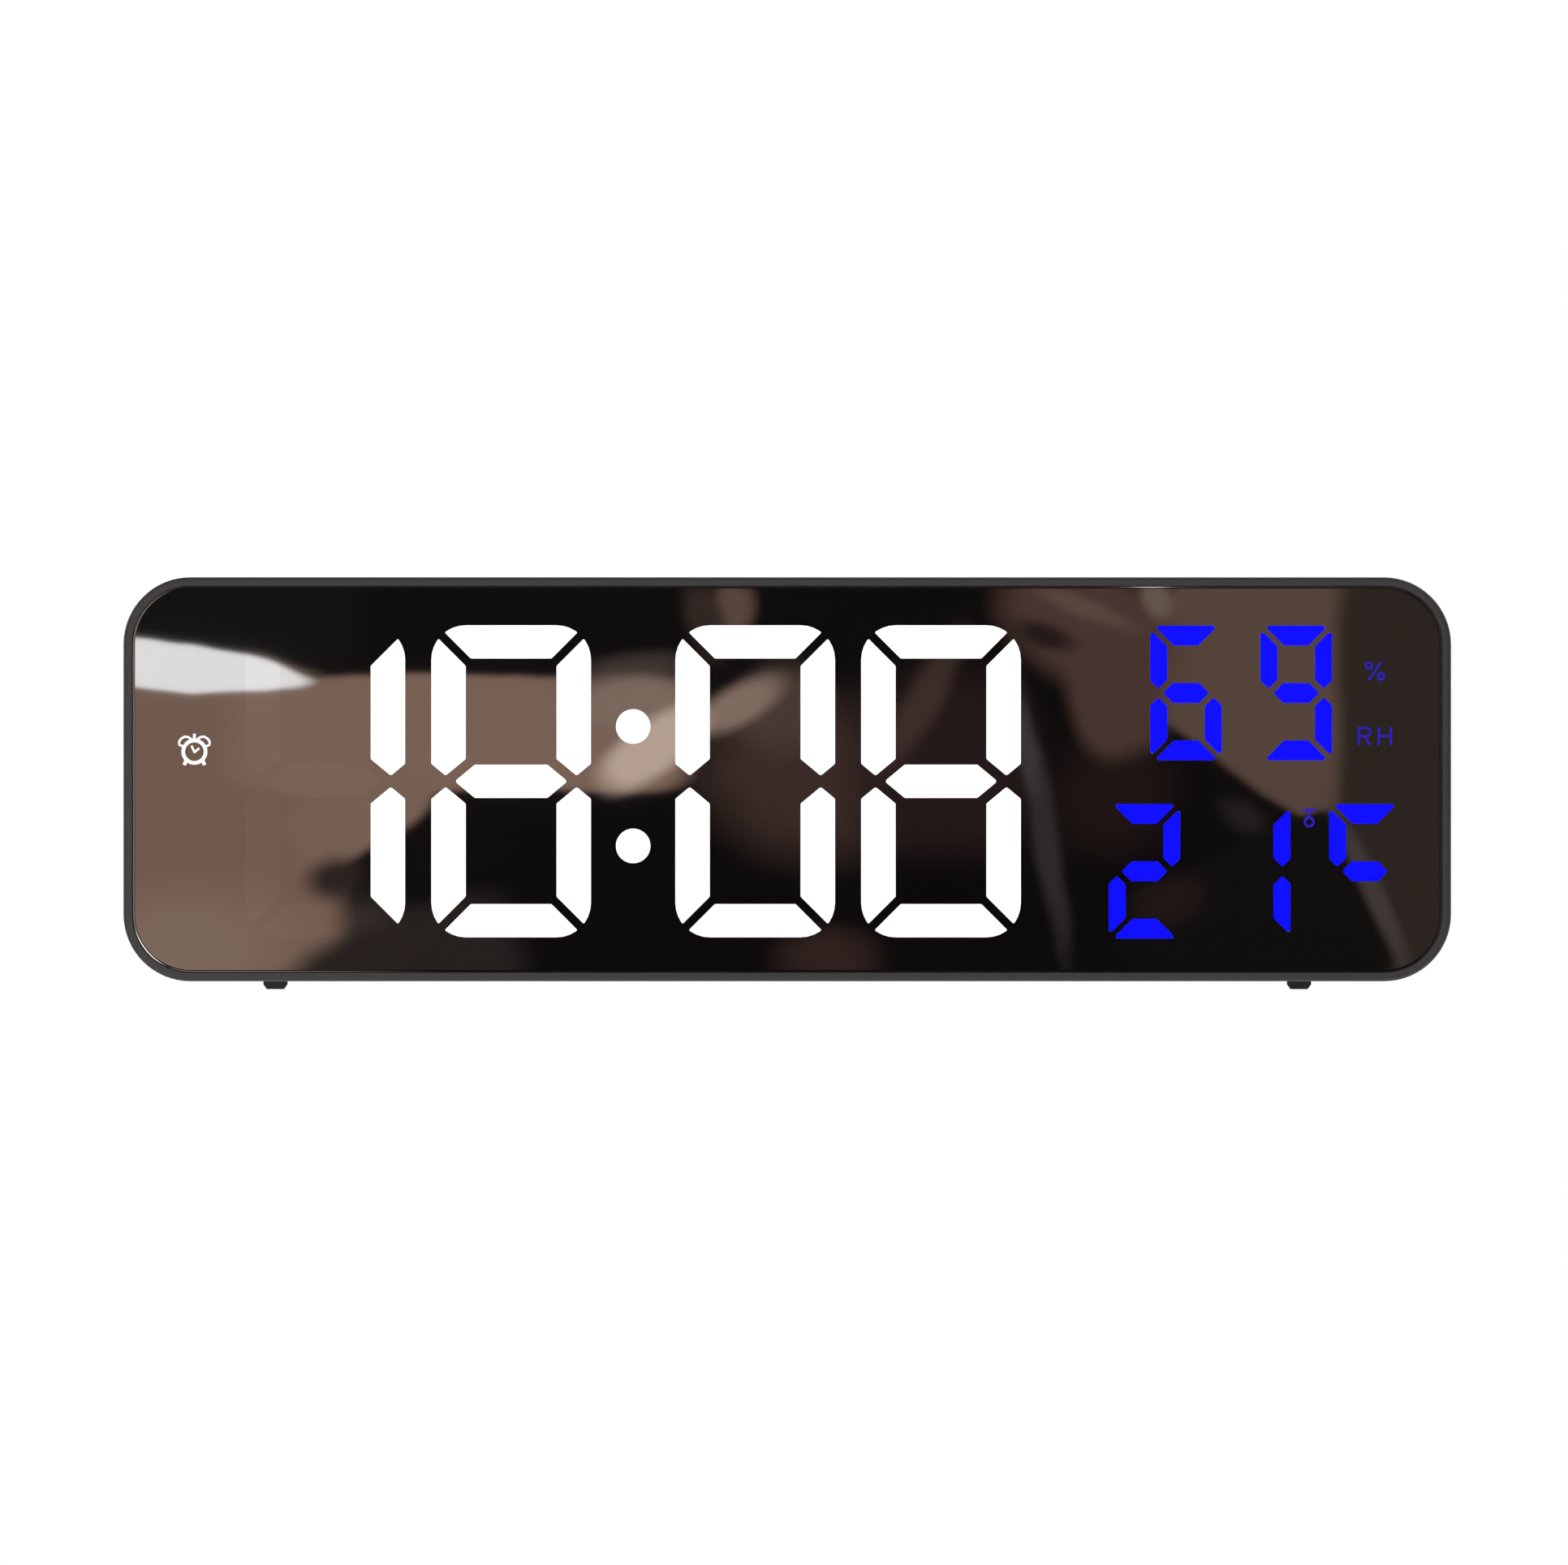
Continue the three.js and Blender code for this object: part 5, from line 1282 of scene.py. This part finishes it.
def usbSocket():
    top, foot, inner = inletHigh.z, inletLow.z, 2 * inlet["wall"]
    rings = []
    for less, z in (
        (0.3, top), (0, top - 0.15), (0, foot + 0.08), (0.12, foot), (inner - 0.16, foot),
        (inner, foot + 0.12), (inner, top - inlet["floor"]),
    ):
        height = inlet["height"] - less
        outline = roundedRect(inlet["width"] - less, height, height / 2, inletMiddle.x, inletMiddle.y, 12)
        rings.append([(x, y, z) for x, y in outline])
    return loft(*rings)


def usbTongue():
    half, thick = inlet["width"] / 2 - inlet["side"], inlet["tongue"] / 2
    x, y = inletMiddle.x, inletMiddle.y
    foot, top = inletLow.z + inlet["sink"], inletHigh.z - inlet["floor"] + 0.1
    return block(x - half, x + half, y - thick, y + thick, foot, top)


def usbPads():
    x, y, z = inlet["padHalf"]
    level = inletLow.z + inlet["sink"] + inlet["padMiddle"]
    places = [
        (
            inletMiddle.x + (i - (inlet["pads"] - 1) / 2) * inlet["padStep"],
            inletMiddle.y + side * (inlet["tongue"] / 2 + y / 2), level,
        )
        for side in (-1, 1) for i in range(inlet["pads"])
    ]
    return atEach(places, block(-x, x, -y, y, -z, z), 0.0, "gold")


addPiece("inletShell", usbSocket(), ["steel"], replaced=["usb_socket"])
addPiece("inletTongue", usbTongue(), ["blackPlastic"], edge=0.08)
addPiece("inletPads", usbPads(), ["gold"])

# Nodes that are shown as they come from the frame, by their finish

dressed = {
    "whitePlastic": ["reflector_block"],
    "boardGreen": ["display_board", "key_board", "power_board", "climate_sensor"],
    "blackPlastic": ["buzzer", "set_plunger", "mode_plunger", "up_plunger", "down_plunger"],
    "redWire": ["battery_wire_red"],
    "blackWire": ["battery_wire_black"],
    "ribbonPlastic": ["key_ribbon"],
    "steel": ["positive_contact"],
    "screwSteel": ["key_board_screw_1", "key_board_screw_2"],
    "pinSteel": ["leg_pin_left", "leg_pin_right"],
}
for label, names in dressed.items():
    for name in names:
        mesh = nodes[name].data
        mesh.materials.clear()
        mesh.materials.append(finish[label])
print("inner parts dressed")


# Studio: floor, the card that the mirror reflects, world, lamps and camera

studio = {
    "floor": -0.46, "floorReach": 6.0, "ambient": 0.24, "waver": 3.0,
    "cardDistance": 0.45, "cardReach": 1.6, "cardRise": 1.2,
    "cameraDistance": 6.0, "frameWidth": 0.27161, "offset": 0.00056, "sensor": 36.0,
}


def emptyTree(owner):
    owner.use_nodes = True
    owner.node_tree.nodes.clear()
    return owner.node_tree


def stageSheet(name, corners, material):
    mesh = bpy.data.meshes.new(name)
    mesh.from_pydata(corners, [], [(0, 1, 2, 3)])
    mesh.materials.append(material)
    sheet = addObject(name, mesh)
    return sheet


def floorMaterial():
    # Pale and partly glowing to the camera, which sees through it from below.
    tree, shader = bareMaterial("paleFloor")
    cloud = noise(tree, objectPlace(tree), 3.0)
    camera = addNode(tree, "ShaderNodeLightPath", {})["Is Camera Ray"]
    feed(tree, shader, {
        "Base Color": grey(tree, swayed(tree, cloud, 0.03, 0.915)),
        "Roughness": 0.9,
        "Emission Color": (1, 1, 1, 1),
        "Emission Strength": mathNode(tree, "MULTIPLY", camera, 0.5),
    })
    under = addNode(tree, "ShaderNodeNewGeometry", {})["Backfacing"]
    either = addNode(tree, "ShaderNodeMixShader", {
        0: mathNode(tree, "MULTIPLY", under, camera),
        1: tree.nodes["Principled BSDF"].outputs[0],
        2: addNode(tree, "ShaderNodeBsdfTransparent", {})[0],
    })[0]
    feed(tree, tree.nodes["Material Output"].inputs, {"Surface": either})
    return finish["paleFloor"]


corners = ((-1, -1), (1, -1), (1, 1), (-1, 1))
floorReach = studio["floorReach"]
floorCorners = [(x * floorReach, y * floorReach, studio["floor"]) for x, y in corners]
stageSheet("paleFloor", floorCorners, floorMaterial())

# Soft shapes of a painted reflection on the reflection card, which the mirror film shows: painted room tones,
# painted shade and painted glints. Far ones first: middle x and z in millimetres on the clock's face,
# half width and half height, turn to the left in degrees, how square, how soft, and the tone on the face
cardBase = (10, 7, 8)
cardShapes = {
    "leftFar": (-430, 0, 260, 420, 0, 3, 0.3, (132, 117, 109)),
    "rightFar": (430, 0, 240, 420, 0, 3, 0.3, (46, 40, 38)),
    "lowFar": (30, -330, 420, 200, 4, 3, 0.3, (26, 20, 20)),
    "highFar": (20, 380, 420, 200, -3, 3, 0.3, (52, 45, 43)),
    "highFarRight": (200, 380, 150, 200, 0, 3, 0.3, (96, 86, 80)),
    "lowFarLeft": (-118, -250, 52, 90, 0, 3, 0.3, (160, 139, 127)),
    # cornerGlint and topGlint are painted highlights, brighter than white, that the lens's bright strip shows
    # as glint lines
    "cornerGlint": (-249, -142, 84, 40, -51, 2, 0.5, (411, 408, 404)),
    "topGlint": (65.2, 222, 2.8, 50, 0, 2, 0.6, (400, 388, 376)),
    "lowGrey": (-74, -29, 9, 8, 24, 2, 1.1, (52, 44, 40)),
    "warmField": (-100, -9, 21.5, 28, 4, 6, 0.3, (117, 93, 80)),
    "warmFoot": (-106, -30, 18, 10, 10, 2, 1.2, (129, 107, 94)),
    "warmBand": (-57, 8, 40, 10.0, 0, 8, 0.14, (124, 100, 87)),
    "warmCorner": (-74, -4.6, 13, 7, 34, 4, 0.3, (122, 99, 86)),
    "lowCut": (-66, -34, 20, 10, 22, 4, 0.5, (40, 33, 32)),
    "darkSpot": (-78.2, -17, 4.6, 3.2, 20, 2, 1.3, (44, 35, 33)),
    "whiteStreak": (-110, 19.7, 27.4, 4.3, -4.6, 1.6, 0.16, (232, 229, 229)),
    "streakShade": (-93.5, 31.2, 20, 8.2, -16, 6, 0.1, (15, 12, 12)),
    "greyArch": (-27, 18.4, 10, 3.2, 8, 2, 1.1, (64, 54, 50)),
    "midBrown": (3, 1, 17, 13, -14, 2, 1.0, (60, 44, 40)),
    "midFold": (-1, 12, 8, 7, 30, 2, 0.9, (74, 58, 52)),
    "paleBand": (-27, 13.5, 8, 4.2, 0, 3, 0.8, (128, 108, 97)),
    "paleTip": (-8.5, 12.6, 8, 3.2, 30, 2, 0.9, (134, 112, 101)),
    "paleSlant": (-23.5, 5.4, 10, 4.2, 34, 2.4, 0.7, (188, 166, 153)),
    "warmPatch": (-9.6, 30, 3.4, 5.0, -16, 2, 0.9, (92, 73, 64)),
    "warmDrop": (-14, 28, 3.0, 7, 16, 2, 1.1, (50, 39, 35)),
    "lowWarm": (7, -31, 8, 5, 0, 2, 1.1, (48, 34, 31)),
    "unitsBrown": (27, 3, 15, 15, 0, 3, 0.8, (36, 25, 24)),
    "unitsFoot": (28, -19.5, 7, 3, 0, 2, 1.0, (8, 5, 6)),
    "foldLight": (23, 13, 3.0, 12, -28, 2, 1.1, (62, 46, 41)),
    "redShade": (56, -3, 10, 9, 20, 2, 1.2, (30, 20, 18)),
    "warmRight": (93.8, 16.9, 31, 22, -35.7, 12, 0.09, (88, 70, 61)),
    "warmFold": (52.5, 26.6, 16, 10, -34, 3, 0.6, (76, 55, 49)),
    "warmFoldLow": (57.5, 14, 8, 10, 14, 3, 0.5, (74, 54, 48)),
    "foldTip": (64.3, 31.6, 2.6, 3.4, 24, 2, 1.0, (104, 88, 79)),
    "foldShade": (44.5, 24.5, 5, 2, -18, 2, 1.3, (36, 25, 24)),
    "foldStripe": (51, 29.5, 8, 1.5, -22, 2, 1.3, (92, 74, 66)),
    "rightShade": (109.5, -1, 14, 40, 0, 8, 0.3, (44, 36, 31)),
    "lowDark": (80.5, -26.6, 15.5, 22.5, -67.6, 8, 0.1, (14, 11, 11)),
    "lowMottle": (79, -6, 4, 2.4, -38, 2, 1.3, (34, 29, 28)),
    "lowMottleLeft": (66, -21, 6, 4, 20, 2, 1.3, (32, 23, 21)),
    "paleEdge": (101.4, -19, 1.8, 15, 25, 2, 1.1, (66, 58, 54)),
    "greyStreak": (44.4, -8, 2.0, 21, 9, 2, 1.1, (48, 43, 43)),
    "greyStreakTop": (41.6, 6, 1.6, 8, 8, 2, 1.1, (60, 54, 54)),
}


def cardTone(shade):
    # The tone that the card needs, so that the film shows the shade.
    return (*(c / f for c, f in zip(colour(*shade), film["mirrorFilm"][0])), 1.0)


# The card glows with the painted reflection; only glossy rays see it, so it lights nothing and casts no
# shadow.
def cardMaterial():
    material = bpy.data.materials.new("reflectionCard")
    tree = emptyTree(material)
    spread = 1 + (studio["cardDistance"] + at(panel["back"]) / 1000) / studio["cameraDistance"]
    onFace = vectorNode(tree, "MULTIPLY", objectPlace(tree), (1000 / spread, 0, 1000 / spread))
    values = {"Vector": onFace, "Scale": 0.05, "Detail": 2.0}
    folds = addNode(tree, "ShaderNodeTexNoise", values)["Color"]
    waver = studio["waver"]
    centred = vectorNode(tree, "MULTIPLY_ADD", folds, (waver, 0, waver), (-waver / 2, 0, -waver / 2))
    bent = vectorNode(tree, "ADD", onFace, centred)
    tone = cardTone(cardBase)
    for label, (x, z, halfWidth, halfHeight, turn, power, softness, shade) in cardShapes.items():
        values = {
            "Vector": bent, "Location": (x, 0, z), "Rotation": (0, math.radians(-turn), 0),
            "Scale": (halfWidth, 1, halfHeight),
        }
        local = addNode(tree, "ShaderNodeMapping", values, label=label, vector_type="TEXTURE")[0]
        parts = addNode(tree, "ShaderNodeSeparateXYZ", {0: local})
        across = mathNode(tree, "POWER", mathNode(tree, "ABSOLUTE", parts["X"]), power)
        along = mathNode(tree, "POWER", mathNode(tree, "ABSOLUTE", parts["Z"]), power)
        far = mathNode(tree, "POWER", mathNode(tree, "ADD", across, along), 1 / power)
        values = {"Value": far, "From Min": 1 + softness / 2, "From Max": 1 - softness / 2}
        fade = addNode(tree, "ShaderNodeMapRange", values, interpolation_type="SMOOTHSTEP")[0]
        tone = mixColours(tree, fade, tone, cardTone(shade))
    shining = addNode(tree, "ShaderNodeEmission", {"Color": tone})[0]
    addNode(tree, "ShaderNodeOutputMaterial", {"Surface": shining})
    return material


cardReach, cardRise = studio["cardReach"], studio["cardRise"]
cardCorners = [(x * cardReach, -studio["cardDistance"], z * cardRise) for x, z in corners]
card = stageSheet("reflectionCard", cardCorners, cardMaterial())
for ray in ("camera", "diffuse", "transmission", "volume_scatter", "shadow"):
    setattr(card, "visible_" + ray, False)

world = bpy.data.worlds.new("paleStudio")
bpy.context.scene.world = world
worldTree = emptyTree(world)
straight = addNode(worldTree, "ShaderNodeLightPath", {})["Is Camera Ray"]
seen = mathNode(worldTree, "MULTIPLY", straight, 1 - studio["ambient"])
strength = mathNode(worldTree, "ADD", seen, studio["ambient"])
sky = addNode(worldTree, "ShaderNodeBackground", {"Color": (1, 1, 1, 1), "Strength": strength})[0]
addNode(worldTree, "ShaderNodeOutputWorld", {"Surface": sky})

lamps = {
    "keyLamp": {"place": (-0.5, -2.2, 0.8), "size": 1.8, "power": 31.0},
    "fillLamp": {"place": (1.0, -2.2, 0.1), "size": 1.8, "power": 18.0},
    "rearLamp": {"place": (0.9, 1.9, 1.3), "size": 2.2, "power": 46.0},
    "rearFill": {"place": (-1.3, 1.7, 0.4), "size": 2.0, "power": 20.0},
}
for name, lamp in lamps.items():
    light = bpy.data.lights.new(name, "AREA")
    light.shape = "DISK"
    light.size = lamp["size"]
    light.energy = lamp["power"]
    holder = addObject(name, light)
    holder.location = lamp["place"]
    holder.rotation_euler = (-Vector(lamp["place"])).to_track_quat("-Z", "Y").to_euler()

camera = bpy.data.cameras.new("camera")
camera.sensor_width = studio["sensor"]
camera.lens = studio["sensor"] * studio["cameraDistance"] / studio["frameWidth"]
camera.clip_start, camera.clip_end = 0.05, 50.0
holder = addObject("camera", camera)
holder.location = (-studio["offset"], -case["depth"] / 1000 - studio["cameraDistance"], -studio["offset"])
holder.rotation_euler = (math.pi / 2, 0, 0)
bpy.context.scene.camera = holder
bpy.context.scene.view_settings.view_transform = "Standard"
print("studio made")
